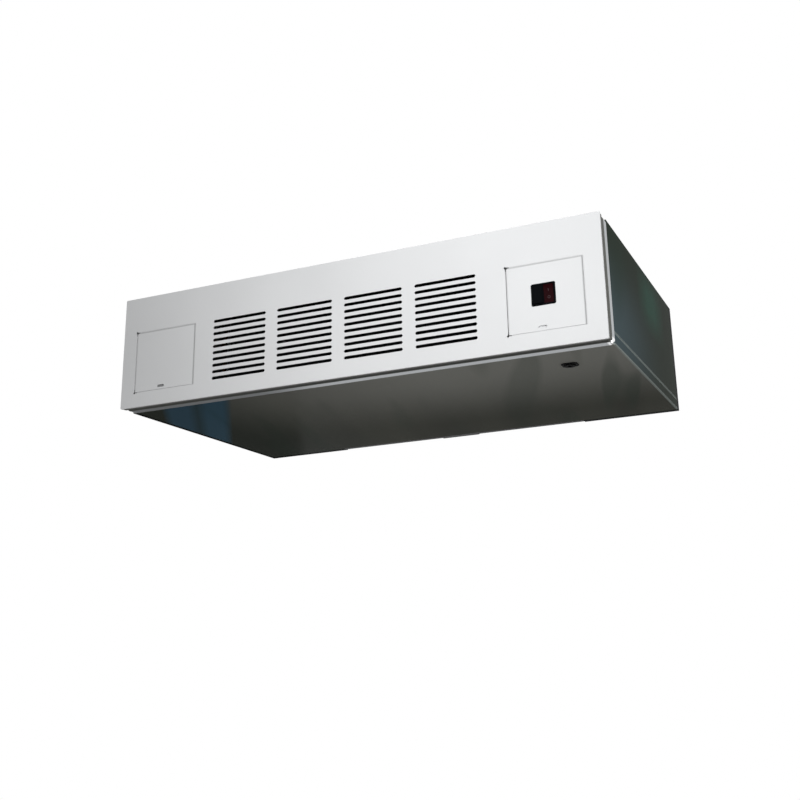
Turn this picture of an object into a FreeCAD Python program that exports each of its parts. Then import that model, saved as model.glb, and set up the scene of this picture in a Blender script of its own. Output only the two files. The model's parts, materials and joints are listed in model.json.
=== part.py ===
import FreeCAD, Part
import math
import os
from types import SimpleNamespace

import Sketcher
from FreeCAD import Rotation, Vector

# A horizontal fan coil unit that hangs exposed under a ceiling.
# X runs along the width, Y from the front face to the rear, Z up.
# The origin is the centre of the four hanging slots, on the top face of the hanger channels,
# which is also the underside of the top panel. The front face looks towards -Y.

os.makedirs("parts", exist_ok=True)
doc = FreeCAD.newDocument("ceiling_fan_coil_unit")
sheet = doc.addObject("Spreadsheet::Sheet", "sizes")

# Driving dimensions, in millimetres, and angles in degrees
SIZES = {
    # casing
    "case_width": 1090.0,
    "case_depth": 630.0,
    "case_height": 250.0,
    "case_skin": 1.2,
    "bend_radius": 2.4,
    "seam_height": 24.0,
    "seam_gap": 0.8,
    "seam_overlap": 12.0,
    "flange_width": 18.0,
    "fit_gap": 0.3,
    # front panel and the frame behind it
    "panel_skin": 1.2,
    "panel_return": 4.0,
    "reveal_depth": 18.0,
    "reveal_inset": 9.0,
    "collar_skin": 1.5,
    "band_depth": 22.0,
    "band_skin": 1.5,
    "band_corner": 8.0,
    "band_edge": 3.0,
    # louvres
    "louvre_left_margin": 234.5,
    "louvre_right_margin": 253.3,
    "louvre_gap": 27.4,
    "slot_height": 6.6,
    "slot_pitch": 14.0,
    "slot_corner": 2.4,
    "first_slot_rise": 38.8,
    "vane_reach": 8.0,
    "vane_rise": 6.4,
    "vane_skin": 1.0,
    # access doors
    "opening_width": 155.0,
    "opening_height": 138.0,
    "opening_rise": 31.5,
    "left_opening_margin": 34.0,
    "right_opening_margin": 37.5,
    "door_gap": 1.8,
    "door_skin": 1.2,
    "door_return": 8.0,
    "hinge_inset": 4.0,
    "pin_radius": 2.0,
    "pin_clearance": 0.05,
    "relief_radius": 2.3,
    "pull_width": 18.0,
    "pull_height": 5.6,
    "pull_rise": 7.0,
    "pull_depth": 5.0,
    "pull_corner": 2.0,
    "pull_offset": 8.0,
    "bracket_width": 16.0,
    "bracket_leg": 8.0,
    "bracket_skin": 1.8,
    "bracket_gap": 1.1,
    "pin_overrun": 1.8,
    "catch_width": 36.0,
    "magnet_width": 18.0,
    # switch in the right door
    "bezel_width": 48.0,
    "bezel_height": 44.0,
    "bezel_skin": 1.5,
    "bezel_lap": 1.0,
    "switch_offset": 3.5,
    "switch_wall": 2.0,
    "switch_depth": 26.0,
    "switch_rise": 73.0,
    "rocker_width": 18.6,
    "rocker_height": 35.0,
    "rocker_dish": 1.5,
    "rocker_set_back": 5.0,
    "rocker_play": 0.4,
    "rocker_end_gap": 1.2,
    "rocker_tilt": 8.0,
    "trunnion_radius": 1.5,
    "trunnion_seat": 0.8,
    "tab_width": 6.3,
    "tab_skin": 0.8,
    "tab_length": 9.0,
    "clip_margin": 309.0,
    "clip_skin": 1.0,
    # hanger channels
    "channel_width": 40.0,
    "channel_height": 15.0,
    "channel_skin": 2.0,
    "channel_end_gap": 20.0,
    "hanger_side_margin": 70.0,
    "hanger_end_margin": 85.0,
    "slot_width": 11.0,
    "slot_length": 32.0,
    "isolator_height": 5.0,
    "foam_thickness": 10.0,
    # chassis
    "bay_width": 200.0,
    "chassis_skin": 1.2,
    "deck_position": 255.0,
    # coil and drain pan
    "coil_set_back": 66.0,
    "row_spacing": 22.0,
    "tube_pitch": 27.0,
    "tube_radius": 4.75,
    "fin_end_gap": 33.0,
    "fin_pitch": 12.0,
    "fin_skin": 0.3,
    "coil_lift": 30.0,
    "end_plate_skin": 1.5,
    "end_plate_gap": 3.0,
    "header_radius": 11.0,
    "header_offset": 27.0,
    "header_length": 265.0,
    "union_bore": 12.1,
    "union_radius": 17.0,
    "union_length": 26.0,
    "union_socket": 7.0,
    "union_thread_depth": 16.0,
    "vent_height": 14.0,
    "vent_radius": 7.1,
    "pan_margin": 17.0,
    "pan_reach": 60.0,
    "pan_height": 23.0,
    "pan_skin": 1.0,
    "pan_foam": 3.0,
    "spout_offset": 50.0,
    "spout_radius": 9.0,
    "spout_bore": 7.5,
    "spout_root": 14.0,
    "spout_grip": 45.0,
    "bead_radius": 10.8,
    "bead_width": 3.0,
    # blowers and motor
    "blade_chord": 11.0,
    "blade_skin": 0.8,
    "wheel_ring_width": 9.0,
    "wheel_ring_skin": 2.0,
    "wheel_side_gap": 7.0,
    "tongue_gap": 13.0,
    "inlet_lip": 15.0,
    "scroll_top_gap": 1.0,
    "scroll_floor_gap": 18.6,
    "scroll_set_back": 18.0,
    "scroll_inner_side": 90.0,
    "scroll_outer_gap": 55.0,
    "scroll_growth": 14.0,
    "scroll_skin": 1.0,
    "shaft_radius": 6.0,
    "running_clearance": 0.05,
    "hub_radius": 14.0,
    "hub_length": 30.0,
    "motor_radius": 52.0,
    "motor_length": 92.0,
    "motor_boss": 20.0,
    "motor_boss_length": 15.0,
    "motor_gap": 3.0,
    "bush_radius": 10.0,
    "bush_length": 12.0,
    "ring_radius": 28.0,
    "ring_length": 9.0,
    "ring_inset": 3.0,
    "cradle_skin": 2.0,
    # pipe opening in the rear panel
    "pipe_opening_side": 27.0,
    "pipe_opening_drop": 36.0,
    "pipe_opening_gap": 9.0,
    # return-air filter
    "rear_inset": 22.0,
    "filter_inset": 25.0,
    "filter_drop": 16.8,
    "filter_thickness": 14.0,
    "filter_border": 14.0,
    "filter_clearance": 0.3,
    "rail_skin": 1.0,
    "rail_grip": 12.0,
    "media_thickness": 8.0,
    "tab_reach": 96.0,
    # electrical parts
    "box_depth": 42.0,
    "box_length": 150.0,
    "box_height": 104.0,
    "box_skin": 1.5,
    "box_rise": 63.0,
    "box_overhang": 50.0,
    "box_entry_radius": 10.5,
    "strip_rise": 35.0,
    "strip_inset": 17.5,
    "strip_pitch": 10.0,
    "strip_height": 28.0,
    "strip_depth": 19.5,
    "cell_depth": 7.0,
    "capacitor_radius": 17.5,
    "capacitor_length": 58.0,
    "capacitor_gap": 18.0,
    "strap_skin": 1.5,
    "strap_position": 23.0,
    "strap_width": 12.0,
    "gland_side": 113.0,
    "gland_set_back": 132.0,
    "gland_width": 32.0,
    "gland_depth": 26.0,
    "gland_bore": 5.0,
    "gland_wall": 3.0,
    "gland_drop": 4.0,
    # screws
    "screw_radius": 3.5,
    "screw_rise": 2.0,
}
SLOTS_PER_GROUP = 10
LOUVRE_GROUPS = 4
TUBES_HIGH = 6
TUBE_ROWS = 2
BLADES = 24
TERMINALS = 10
# Flats of small round things that repeat: tubes and bends, holes, rubber rings and screw heads
TUBE_SIDES = 8
BEND_STEPS = 5
HOLE_SIDES = 8
RING_SIDES = 8
HEX_SIDES = 6
BLADE_TURNS = [math.radians(degrees) for degrees in (0, 32, 64)]
TONGUE_ANGLE = math.radians(40)
# Broken edges as shares of the sheet that they are on
LONG_BEND = 0.98
BEZEL_BEVEL = 0.6
# Corners of a rocker's side view as shares of half its height
ROCKER_SHOULDER = 0.72
ROCKER_KEEL = 0.3

for row, (alias, millimetres) in enumerate(SIZES.items(), start=1):
    sheet.set(f"A{row}", alias)
    sheet.set(f"B{row}", str(millimetres))
    sheet.setAlias(f"B{row}", alias)
doc.recompute()


class Size:
    """A length that knows its number and the formula that ties it to the sheet."""

    def __init__(self, formula, number):
        self.formula = formula
        self.number = number

    def __add__(self, other):
        other = as_size(other)
        return Size(f"({self.formula} + {other.formula})", self.number + other.number)

    def __sub__(self, other):
        other = as_size(other)
        return Size(f"({self.formula} - {other.formula})", self.number - other.number)

    def __mul__(self, other):
        other = as_size(other)
        return Size(f"({self.formula} * {other.formula})", self.number * other.number)

    def __truediv__(self, other):
        other = as_size(other)
        return Size(f"({self.formula} / {other.formula})", self.number / other.number)

    def __neg__(self):
        return self * -1

    def __rmul__(self, other):
        return self * other

    def __radd__(self, other):
        return self + other

    def __lt__(self, other):
        return self.number < as_size(other).number

    def root(self):
        return Size(f"sqrt({self.formula})", math.sqrt(self.number))


def as_size(value):
    """A plain number becomes a size whose formula is that number."""
    return value if isinstance(value, Size) else Size(f"({value})", float(value))


dim = SimpleNamespace(**{alias: Size(f"sizes.{alias}", value) for alias, value in SIZES.items()})
derived_sizes = doc.addObject("App::VarSet", "derived_sizes")
node_objects = []


def derived(name, size):
    """Keeps a worked-out size in the document under a name, tied to the sizes it comes from."""
    derived_sizes.addProperty("App::PropertyFloat", name)
    setattr(derived_sizes, name, size.number)
    derived_sizes.setExpression(name, size.formula)
    return Size(f"derived_sizes.{name}", size.number)


def keep(name, thing):
    """Gives a finished sub-part its node name and puts it on the list to write out."""
    thing.Label = name
    node_objects.append(thing)
    return thing


# Sketches
def plane_of(body, plane):
    """The body's own origin plane XY, XZ or YZ."""
    return next(item for item in body.Origin.OriginFeatures if item.Role == plane + "_Plane")


def locate(sketch, geometry, point, place):
    """Ties one point of a sketch's geometry to a place measured from the sketch's origin."""
    for kind, distance in (("DistanceX", place[0]), ("DistanceY", place[1])):
        index = sketch.addConstraint(
            Sketcher.Constraint(kind, -1, 1, geometry, point, as_size(distance).number))
        sketch.setExpression(f"Constraints[{index}]", as_size(distance).formula)


def outline(*corners):
    """A closed outline through its corners.

    A corner is (x, y), reached by a straight line, or (x, y, centre_x, centre_y), reached by
    the shorter arc about that centre.
    """

    def draw(sketch):
        places = [(as_size(corner[0]), as_size(corner[1])) for corner in corners]
        first = sketch.GeometryCount
        ends = []
        for index, corner in enumerate(corners):
            start, end = places[index - 1], places[index]
            start_point = Vector(start[0].number, start[1].number, 0)
            end_point = Vector(end[0].number, end[1].number, 0)
            if len(corner) == 2:
                sketch.addGeometry(Part.LineSegment(start_point, end_point), False)
                ends.append((1, 2))
                continue
            centre = Vector(as_size(corner[2]).number, as_size(corner[3]).number, 0)
            radius = (end_point - centre).Length
            from_angle = math.atan2(start_point.y - centre.y, start_point.x - centre.x)
            to_angle = math.atan2(end_point.y - centre.y, end_point.x - centre.x)
            forwards = (to_angle - from_angle) % (2 * math.pi) <= math.pi
            angles = (from_angle, to_angle) if forwards else (to_angle, from_angle)
            circle = Part.Circle(centre, Vector(0, 0, 1), radius)
            sketch.addGeometry(Part.ArcOfCircle(circle, *angles), False)
            ends.append((1, 2) if forwards else (2, 1))
        for index, corner in enumerate(corners):
            geometry = first + index
            following = (index + 1) % len(corners)
            sketch.addConstraint(Sketcher.Constraint(
                "Coincident", geometry, ends[index][1], first + following, ends[following][0]))
            locate(sketch, geometry, ends[index][1], places[index])
            if len(corner) == 4:
                centre_x = as_size(corner[2])
                tie = sketch.addConstraint(
                    Sketcher.Constraint("DistanceX", -1, 1, geometry, 3, centre_x.number))
                sketch.setExpression(f"Constraints[{tie}]", centre_x.formula)

    return draw


def rectangle(x_low, y_low, x_high, y_high):
    """A rectangle from its low corner to its high corner."""
    return outline((x_low, y_low), (x_high, y_low), (x_high, y_high), (x_low, y_high))


def rounded(x_low, y_low, x_high, y_high, radius):
    """A rectangle whose four corners are arcs of one radius."""
    return outline(
        (x_high - radius, y_low),
        (x_high, y_low + radius, x_high - radius, y_low + radius),
        (x_high, y_high - radius),
        (x_high - radius, y_high, x_high - radius, y_high - radius),
        (x_low + radius, y_high),
        (x_low, y_high - radius, x_low + radius, y_high - radius),
        (x_low, y_low + radius),
        (x_low + radius, y_low, x_low + radius, y_low + radius))


def chamfered(x_low, y_low, x_high, y_high, corner):
    """A rectangle whose four corners are cut off at 45 degrees."""
    return outline(
        (x_high - corner, y_low), (x_high, y_low + corner),
        (x_high, y_high - corner), (x_high - corner, y_high),
        (x_low + corner, y_high), (x_low, y_high - corner),
        (x_low, y_low + corner), (x_low + corner, y_low))


def polygon(x, y, radius, sides):
    """A regular polygon about a point, with its first corner along the sketch's x."""
    corners = []
    for number in range(sides):
        angle = 2 * math.pi * number / sides
        corners.append((x + radius * round(math.cos(angle), 6),
                        y + radius * round(math.sin(angle), 6)))
    return outline(*corners)


def circle(x, y, radius):
    """A full circle about a point."""

    def draw(sketch):
        centre = Vector(as_size(x).number, as_size(y).number, 0)
        round_line = Part.Circle(centre, Vector(0, 0, 1), as_size(radius).number)
        index = sketch.addGeometry(round_line, False)
        locate(sketch, index, 3, (x, y))
        tie = sketch.addConstraint(Sketcher.Constraint("Radius", index, as_size(radius).number))
        sketch.setExpression(f"Constraints[{tie}]", as_size(radius).formula)

    return draw


def sketch_at(body, plane, level, outlines):
    """A sketch on one of the body's planes, moved to a level along the axis across it.

    In an XY sketch x is X and y is Y; in an XZ sketch x is X and y is Z; in a YZ sketch x is Y
    and y is Z.
    """
    sketch = body.newObject("Sketcher::SketchObject", body.Name + "_outline")
    sketch.AttachmentSupport = [(plane_of(body, plane), "")]
    sketch.MapMode = "FlatFace"
    offset = -as_size(level) if plane == "XZ" else as_size(level)
    sketch.setExpression("AttachmentOffset.Base.z", offset.formula)
    for draw in outlines:
        draw(sketch)
    return sketch


# Features
def new_body(name):
    """An empty body that becomes the node of that name."""
    return keep(name, doc.addObject("PartDesign::Body", name))


def pad(body, plane, low, high, *outlines):
    """Adds the outlines' solid between two levels along the axis across the plane."""
    feature = body.newObject("PartDesign::Pad", body.Name + "_pad")
    feature.Profile = sketch_at(body, plane, low, outlines)
    feature.setExpression("Length", (as_size(high) - low).formula)
    feature.Reversed = plane == "XZ"
    return feature


def pocket(body, plane, low, high, *outlines):
    """Cuts the outlines' solid away between two levels along the axis across the plane."""
    feature = body.newObject("PartDesign::Pocket", body.Name + "_pocket")
    feature.Profile = sketch_at(body, plane, low, outlines)
    feature.setExpression("Length", (as_size(high) - low).formula)
    feature.Reversed = plane != "XZ"
    return feature


def axis_of(body, axis):
    """The body's own origin axis X, Y or Z."""
    return next(item for item in body.Origin.OriginFeatures if item.Role == axis + "_Axis")


def turn(body, *outlines):
    """Turns outlines of an XZ sketch about the X axis, as a lathe does."""
    feature = body.newObject("PartDesign::Revolution", body.Name + "_turned")
    feature.Profile = sketch_at(body, "XZ", 0, outlines)
    feature.ReferenceAxis = (axis_of(body, "X"), [""])
    feature.Angle = 360
    return feature


def chosen_edges(body, choose):
    """The body's last feature with the names of the edges that the choose function picks."""
    doc.recompute()
    edges = enumerate(body.Tip.Shape.Edges, 1)
    return body.Tip, [f"Edge{number}" for number, edge in edges if choose(edge)]


def round_edges(body, radius, choose):
    """Fillets the edges of the body that the choose function picks."""
    base = chosen_edges(body, choose)
    feature = body.newObject("PartDesign::Fillet", body.Name + "_fillet")
    feature.Base = base
    feature.setExpression("Radius", as_size(radius).formula)
    return feature


def bevel_edges(body, width, choose):
    """Chamfers the edges of the body that the choose function picks."""
    base = chosen_edges(body, choose)
    feature = body.newObject("PartDesign::Chamfer", body.Name + "_chamfer")
    feature.Base = base
    feature.setExpression("Size", as_size(width).formula)
    return feature


def repeat(body, feature, direction, pitch, count):
    """Repeats a feature in a row along its sketch's horizontal or vertical axis."""
    pattern = body.newObject("PartDesign::LinearPattern", body.Name + "_row")
    pattern.Originals = [feature]
    pattern.Direction = (feature.Profile[0], [direction])
    pattern.setExpression("Length", (pitch * (count - 1)).formula)
    pattern.Occurrences = count
    body.Tip = pattern
    return pattern


def place(thing, x, y, z, rotation=Rotation()):
    """Puts an object at a place that follows the sheet."""
    thing.Placement = FreeCAD.Placement(Vector(0, 0, 0), rotation)
    for axis, distance in zip("xyz", (x, y, z)):
        thing.setExpression(f"Placement.Base.{axis}", as_size(distance).formula)
    return thing


AXIS_TURNS = {
    "X": Rotation(Vector(0, 1, 0), 90),
    "Y": Rotation(Vector(1, 0, 0), -90),
    "Z": Rotation(),
}


def block(name, low, high):
    """A box between two corners."""
    box = doc.addObject("Part::Box", name)
    for key, axis in (("Length", 0), ("Width", 1), ("Height", 2)):
        box.setExpression(key, (as_size(high[axis]) - low[axis]).formula)
    return place(box, *low)


def rod(name, axis, start, radius, length):
    """A cylinder that starts at a point and runs along X, Y or Z."""
    cylinder = doc.addObject("Part::Cylinder", name)
    cylinder.setExpression("Radius", as_size(radius).formula)
    cylinder.setExpression("Height", as_size(length).formula)
    return place(cylinder, *start, AXIS_TURNS[axis])


def bar(name, axis, start, radius, length, sides):
    """A straight bar with a regular section that starts at a point and runs along X, Y or Z."""
    prism = doc.addObject("Part::Prism", name)
    prism.Polygon = sides
    prism.setExpression("Circumradius", as_size(radius).formula)
    prism.setExpression("Height", as_size(length).formula)
    return place(prism, *start, AXIS_TURNS[axis])


def cut(name, base, tool):
    """The base less the tool."""
    result = doc.addObject("Part::Cut", name)
    result.Base = base
    result.Tool = tool
    return result


def joined(name, pieces):
    """One solid from touching or crossing pieces."""
    result = doc.addObject("Part::MultiFuse", name)
    result.Shapes = pieces
    result.Refine = True
    return result


def group(name, pieces):
    """Separate solids that share one node."""
    result = doc.addObject("Part::Compound", name)
    result.Links = pieces
    return result


def along(edge, axis):
    """True where a straight edge runs along one axis."""
    if edge.Curve.TypeId != "Part::GeomLine":
        return False
    direction = edge.Vertexes[-1].Point - edge.Vertexes[0].Point
    return abs(abs(direction.dot(axis)) - direction.Length) < 1e-6


# Levels that the pieces share
left_face = derived("left_face", -dim.case_width / 2)
right_face = derived("right_face", dim.case_width / 2)
front_face = derived("front_face", -dim.case_depth / 2)
rear_face = derived("rear_face", dim.case_depth / 2)
top_face = derived("top_face", dim.case_skin)
bottom_face = derived("bottom_face", dim.case_skin - dim.case_height)
floor_level = derived("floor_level", bottom_face + dim.case_skin)
panel_back = derived("panel_back", front_face + dim.panel_skin)
band_front = derived("band_front", front_face + dim.panel_return + dim.reveal_depth)
body_front = derived("body_front", band_front + dim.band_depth)
rear_wall = derived("rear_wall", rear_face - dim.rear_inset)
seam_level = derived("seam_level", bottom_face + dim.seam_height)
bulkhead_x = derived("bulkhead_x", right_face - dim.bay_width)

# Door openings in the front panel
opening_bottom = derived("opening_bottom", bottom_face + dim.opening_rise)
opening_top = derived("opening_top", opening_bottom + dim.opening_height)
opening_left = {
    "left": left_face + dim.left_opening_margin,
    "right": right_face - dim.right_opening_margin - dim.opening_width,
}
opening_right = {side: edge + dim.opening_width for side, edge in opening_left.items()}
hinge_y = derived("hinge_y", front_face + dim.hinge_inset)
hinge_x = {side: edge + dim.door_gap + dim.hinge_inset for side, edge in opening_left.items()}

# Louvre groups between the two margins
louvre_room = dim.case_width - dim.louvre_left_margin - dim.louvre_right_margin
louvre_length = derived("louvre_length", (louvre_room - dim.louvre_gap * (LOUVRE_GROUPS - 1)) / LOUVRE_GROUPS)


def make_front_panel():
    """White tray with four groups of lanced louvres and two door openings."""
    body = new_body("front_panel")
    pad(body, "XZ", front_face, front_face + dim.panel_return,
        rectangle(left_face, bottom_face, right_face, top_face))
    round_edges(body, dim.bend_radius, lambda edge: along(edge, Vector(0, 1, 0)))
    pocket(body, "XZ", panel_back, front_face + dim.panel_return,
           rectangle(left_face + dim.panel_skin, bottom_face + dim.panel_skin,
                     right_face - dim.panel_skin, top_face - dim.panel_skin))
    openings = []
    for side in ("left", "right"):
        openings.append(rectangle(
            opening_left[side], opening_bottom, opening_right[side], opening_top))
    pocket(body, "XZ", front_face, panel_back, *openings)
    reliefs = []
    for side in ("left", "right"):
        for corner in (opening_bottom, opening_top):
            reliefs.append(polygon(opening_left[side], corner, dim.relief_radius, HOLE_SIDES))
    pocket(body, "XZ", front_face, panel_back, *reliefs)
    slot_left = left_face + dim.louvre_left_margin
    slot_middle = bottom_face + dim.first_slot_rise
    slot_low = slot_middle - dim.slot_height / 2
    slot_high = slot_middle + dim.slot_height / 2
    slots = pocket(body, "XZ", front_face, panel_back, chamfered(
        slot_left, slot_low, slot_left + louvre_length, slot_high, dim.slot_corner))
    vane_left = slot_left + dim.slot_corner
    vane_right = slot_left + louvre_length - dim.slot_corner
    vane = pad(body, "YZ", vane_left, vane_right, outline(
        (front_face + dim.panel_skin / 2, slot_high),
        (panel_back + dim.vane_reach, slot_high + dim.vane_rise),
        (panel_back + dim.vane_reach, slot_high + dim.vane_rise + dim.vane_skin),
        (front_face + dim.panel_skin / 2, slot_high + dim.vane_skin)))
    return body, slots, vane


def repeat_louvres(body, slots, vane):
    """Repeats the first slot and its vane up the group, and the group along the panel."""
    pattern = body.newObject("PartDesign::MultiTransform", "louvres")
    pattern.Originals = [slots, vane]
    upwards = body.newObject("PartDesign::LinearPattern", "louvre_rows")
    upwards.Direction = (slots.Profile[0], ["V_Axis"])
    upwards.setExpression("Length", (dim.slot_pitch * (SLOTS_PER_GROUP - 1)).formula)
    upwards.Occurrences = SLOTS_PER_GROUP
    sideways = body.newObject("PartDesign::LinearPattern", "louvre_groups")
    sideways.Direction = (slots.Profile[0], ["H_Axis"])
    spacing = louvre_length + dim.louvre_gap
    sideways.setExpression("Length", (spacing * (LOUVRE_GROUPS - 1)).formula)
    sideways.Occurrences = LOUVRE_GROUPS
    pattern.Transformations = [upwards, sideways]
    body.Tip = pattern


front_panel, first_slot, first_vane = make_front_panel()
repeat_louvres(front_panel, first_slot, first_vane)

# Reveal collar: a dark neck that stands back from the panel's edge and shows as a shadow line
collar_outer = derived("collar_outer", dim.reveal_inset)
collar_inner = derived("collar_inner", dim.reveal_inset + dim.collar_skin)
collar = new_body("reveal_collar")
pad(collar, "XZ", panel_back, body_front,
    rectangle(left_face + collar_outer, bottom_face + collar_outer,
              right_face - collar_outer, top_face - collar_outer),
    rectangle(left_face + collar_inner, bottom_face + collar_inner,
              right_face - collar_inner, top_face - collar_inner))

# Edge frame: a bright rolled frame, flush with the casing, with rounded corners
band = new_body("edge_frame")
pad(band, "XZ", band_front, body_front,
    rounded(left_face, bottom_face, right_face, top_face, dim.band_corner))
pocket(band, "XZ", band_front, body_front,
       rectangle(left_face + collar_outer, bottom_face + collar_outer,
                 right_face - collar_outer, top_face - collar_outer))
pocket(band, "XZ", band_front + dim.band_skin, body_front,
       rounded(left_face + dim.band_skin, bottom_face + dim.band_skin,
               right_face - dim.band_skin, top_face - dim.band_skin,
               dim.band_corner - dim.band_skin))


def on_outer_rim(edge):
    """The outer edges of the band's front flange."""
    box = edge.BoundBox
    on_front = abs(box.YMax - band_front.number) < 1e-4
    at_side = abs(max(box.XMax, -box.XMin) - right_face.number) < 1e-4
    at_end = abs(box.ZMax - top_face.number) < 1e-4 or abs(box.ZMin - bottom_face.number) < 1e-4
    return on_front and (at_side or at_end)


round_edges(band, dim.band_edge, on_outer_rim)

# Bottom panel: a tray whose side flanges turn up to the seam
bottom = new_body("bottom_panel")
pad(bottom, "XZ", body_front, rear_face, outline(
    (left_face, bottom_face), (right_face, bottom_face), (right_face, seam_level),
    (right_face - dim.case_skin, seam_level), (right_face - dim.case_skin, floor_level),
    (left_face + dim.case_skin, floor_level), (left_face + dim.case_skin, seam_level),
    (left_face, seam_level)))


def on_outer_bend(edge):
    """The two long lower corners of the bottom panel."""
    box = edge.BoundBox
    return (along(edge, Vector(0, 1, 0)) and abs(box.ZMin - bottom_face.number) < 1e-4)


round_edges(bottom, dim.case_skin * LONG_BEND, on_outer_bend)
pad(bottom, "XZ", body_front, body_front + dim.case_skin,
    rectangle(left_face + dim.case_skin, floor_level, right_face - dim.case_skin,
              floor_level + dim.flange_width - collar_outer))
filter_half = derived("filter_half", bulkhead_x - dim.filter_inset)
pocket(bottom, "XY", bottom_face, floor_level,
       rectangle(-filter_half - dim.filter_clearance, rear_wall,
                 filter_half + dim.filter_clearance, rear_face))
gland_x = derived("gland_x", right_face - dim.gland_side)
gland_y = derived("gland_y", front_face + dim.gland_set_back)
gland_neck = derived("gland_neck", dim.gland_bore + dim.gland_wall)
pocket(bottom, "XY", bottom_face, floor_level,
       polygon(gland_x, gland_y, gland_neck, HOLE_SIDES))


def make_side_panel(name, side):
    """End panel with a top flange and a joggled lower edge that tucks behind the seam."""
    body = new_body(name)
    outer = side * right_face
    inner = outer - side * dim.case_skin
    tuck_outer = inner - side * dim.fit_gap
    tuck_inner = tuck_outer - side * dim.case_skin
    edge = seam_level + dim.seam_gap
    step = edge + dim.case_skin
    foot = seam_level - dim.seam_overlap
    pad(body, "XZ", body_front, rear_face, outline(
        (outer, 0), (outer, edge), (tuck_outer, edge), (tuck_outer, foot), (tuck_inner, foot),
        (tuck_inner, step), (inner, step), (inner, -dim.case_skin),
        (outer - side * dim.flange_width, -dim.case_skin), (outer - side * dim.flange_width, 0)))
    low, high = sorted((inner, outer - side * dim.flange_width))
    pad(body, "XZ", rear_face - dim.case_skin, rear_face,
        rectangle(low, step, high, -dim.case_skin))


make_side_panel("side_panel_left", -1)
make_side_panel("side_panel_right", 1)

# Top panel with a slot over each hanging slot
hanger_x = derived("hanger_x", right_face - dim.hanger_side_margin)
hanger_y = derived("hanger_y", rear_face - dim.hanger_end_margin)
hanger_places = [(across * hanger_x, lengthwise * hanger_y)
                 for across in (-1, 1) for lengthwise in (-1, 1)]


def slot_outlines():
    """The four hanging slots, each with round ends."""
    half_width = dim.slot_width / 2
    straight = dim.slot_length / 2 - half_width
    half_length = dim.slot_length / 2
    return [outline((x + straight, y - half_width),
                    (x + half_length, y, x + straight, y),
                    (x + straight, y + half_width, x + straight, y),
                    (x - straight, y + half_width),
                    (x - half_length, y, x - straight, y),
                    (x - straight, y - half_width, x - straight, y)) for x, y in hanger_places]


top = new_body("top_panel")
pad(top, "XY", 0, top_face, rectangle(left_face, body_front, right_face, rear_face))
pocket(top, "XY", 0, top_face, *slot_outlines())

# Hanger channels: two folded channels across the unit, with the hanging slots near their ends
channel_end = derived("channel_end", right_face - dim.channel_end_gap)


def make_hanger_channel(name, lengthwise):
    """Channel with its web up, its flanges down and a slot near each end."""
    body = new_body(name)
    middle = lengthwise * hanger_y
    half = dim.channel_width / 2
    pad(body, "YZ", -channel_end, channel_end, outline(
        (middle - half, -dim.channel_height), (middle - half + dim.channel_skin, -dim.channel_height),
        (middle - half + dim.channel_skin, -dim.channel_skin),
        (middle + half - dim.channel_skin, -dim.channel_skin),
        (middle + half - dim.channel_skin, -dim.channel_height), (middle + half, -dim.channel_height),
        (middle + half, 0), (middle - half, 0)))
    slots = slot_outlines()
    chosen = slots[0::2] if lengthwise < 0 else slots[1::2]
    pocket(body, "XY", -dim.channel_skin, 0, *chosen)


make_hanger_channel("hanger_channel_front", -1)
make_hanger_channel("hanger_channel_rear", 1)

# Rubber pads under the channels' webs, one at each hanging slot
pad_half_width = dim.channel_width / 2 - dim.channel_skin - dim.fit_gap
isolators = new_body("hanger_isolators")
isolator_low = -dim.channel_skin - dim.isolator_height
rod_half_length = dim.slot_length / 2 + dim.fit_gap
rod_half_width = dim.slot_width / 2 + dim.fit_gap
pad(isolators, "XY", isolator_low, -dim.channel_skin,
    *[rectangle(x - dim.slot_length, y - pad_half_width, x + dim.slot_length, y + pad_half_width)
      for x, y in hanger_places])
pocket(isolators, "XY", isolator_low, -dim.channel_skin,
       *[rectangle(x - rod_half_length, y - rod_half_width, x + rod_half_length, y + rod_half_width)
         for x, y in hanger_places])

# Rear panel: return-air opening behind the filter and, in the left bay, a pipe opening that
# runs down to the floor
pipe_opening_low = (left_face + dim.pipe_opening_side, bottom_face)
pipe_opening_high = (-bulkhead_x - dim.pipe_opening_gap, -dim.pipe_opening_drop)
rear = new_body("rear_panel")
rear_half = derived("rear_half", right_face - dim.case_skin * 2 - dim.fit_gap * 2)
pad(rear, "XZ", rear_wall - dim.case_skin, rear_wall,
    rectangle(-rear_half, floor_level, rear_half, -dim.case_skin))
pad(rear, "XZ", rear_wall - dim.flange_width, rear_wall - dim.case_skin,
    rectangle(-rear_half, floor_level, rear_half, floor_level + dim.case_skin),
    rectangle(-rear_half, -dim.case_skin * 2, rear_half, -dim.case_skin))
return_half = filter_half - dim.rail_grip - dim.filter_border
return_low = floor_level + dim.flange_width + dim.filter_border
return_high = -dim.flange_width - dim.filter_border
pocket(rear, "XZ", rear_wall - dim.case_skin, rear_wall,
       rectangle(-return_half, return_low, return_half, return_high))
pocket(rear, "XZ", rear_wall - dim.flange_width, rear_wall,
       rectangle(*pipe_opening_low, *pipe_opening_high))


# Access doors: pressed trays that turn about upright pins at their left edge
door_low = derived("door_low", opening_bottom + dim.door_gap)
door_high = derived("door_high", opening_top - dim.door_gap)
door_left = {side: edge + dim.door_gap for side, edge in opening_left.items()}
door_right = {side: edge - dim.door_gap for side, edge in opening_right.items()}
door_back = derived("door_back", front_face + dim.door_return)
pull_middle = {side: (door_left[side] + door_right[side]) / 2 - dim.pull_offset for side in door_left}
pull_z = derived("pull_z", door_low + dim.pull_rise)
switch_x = derived("switch_x", (door_left["right"] + door_right["right"]) / 2 - dim.switch_offset)
switch_z = derived("switch_z", bottom_face + dim.opening_rise + dim.switch_rise)
switch_half_width = dim.bezel_width / 2 - dim.bezel_lap
switch_half_height = dim.bezel_height / 2 - dim.bezel_lap


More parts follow.
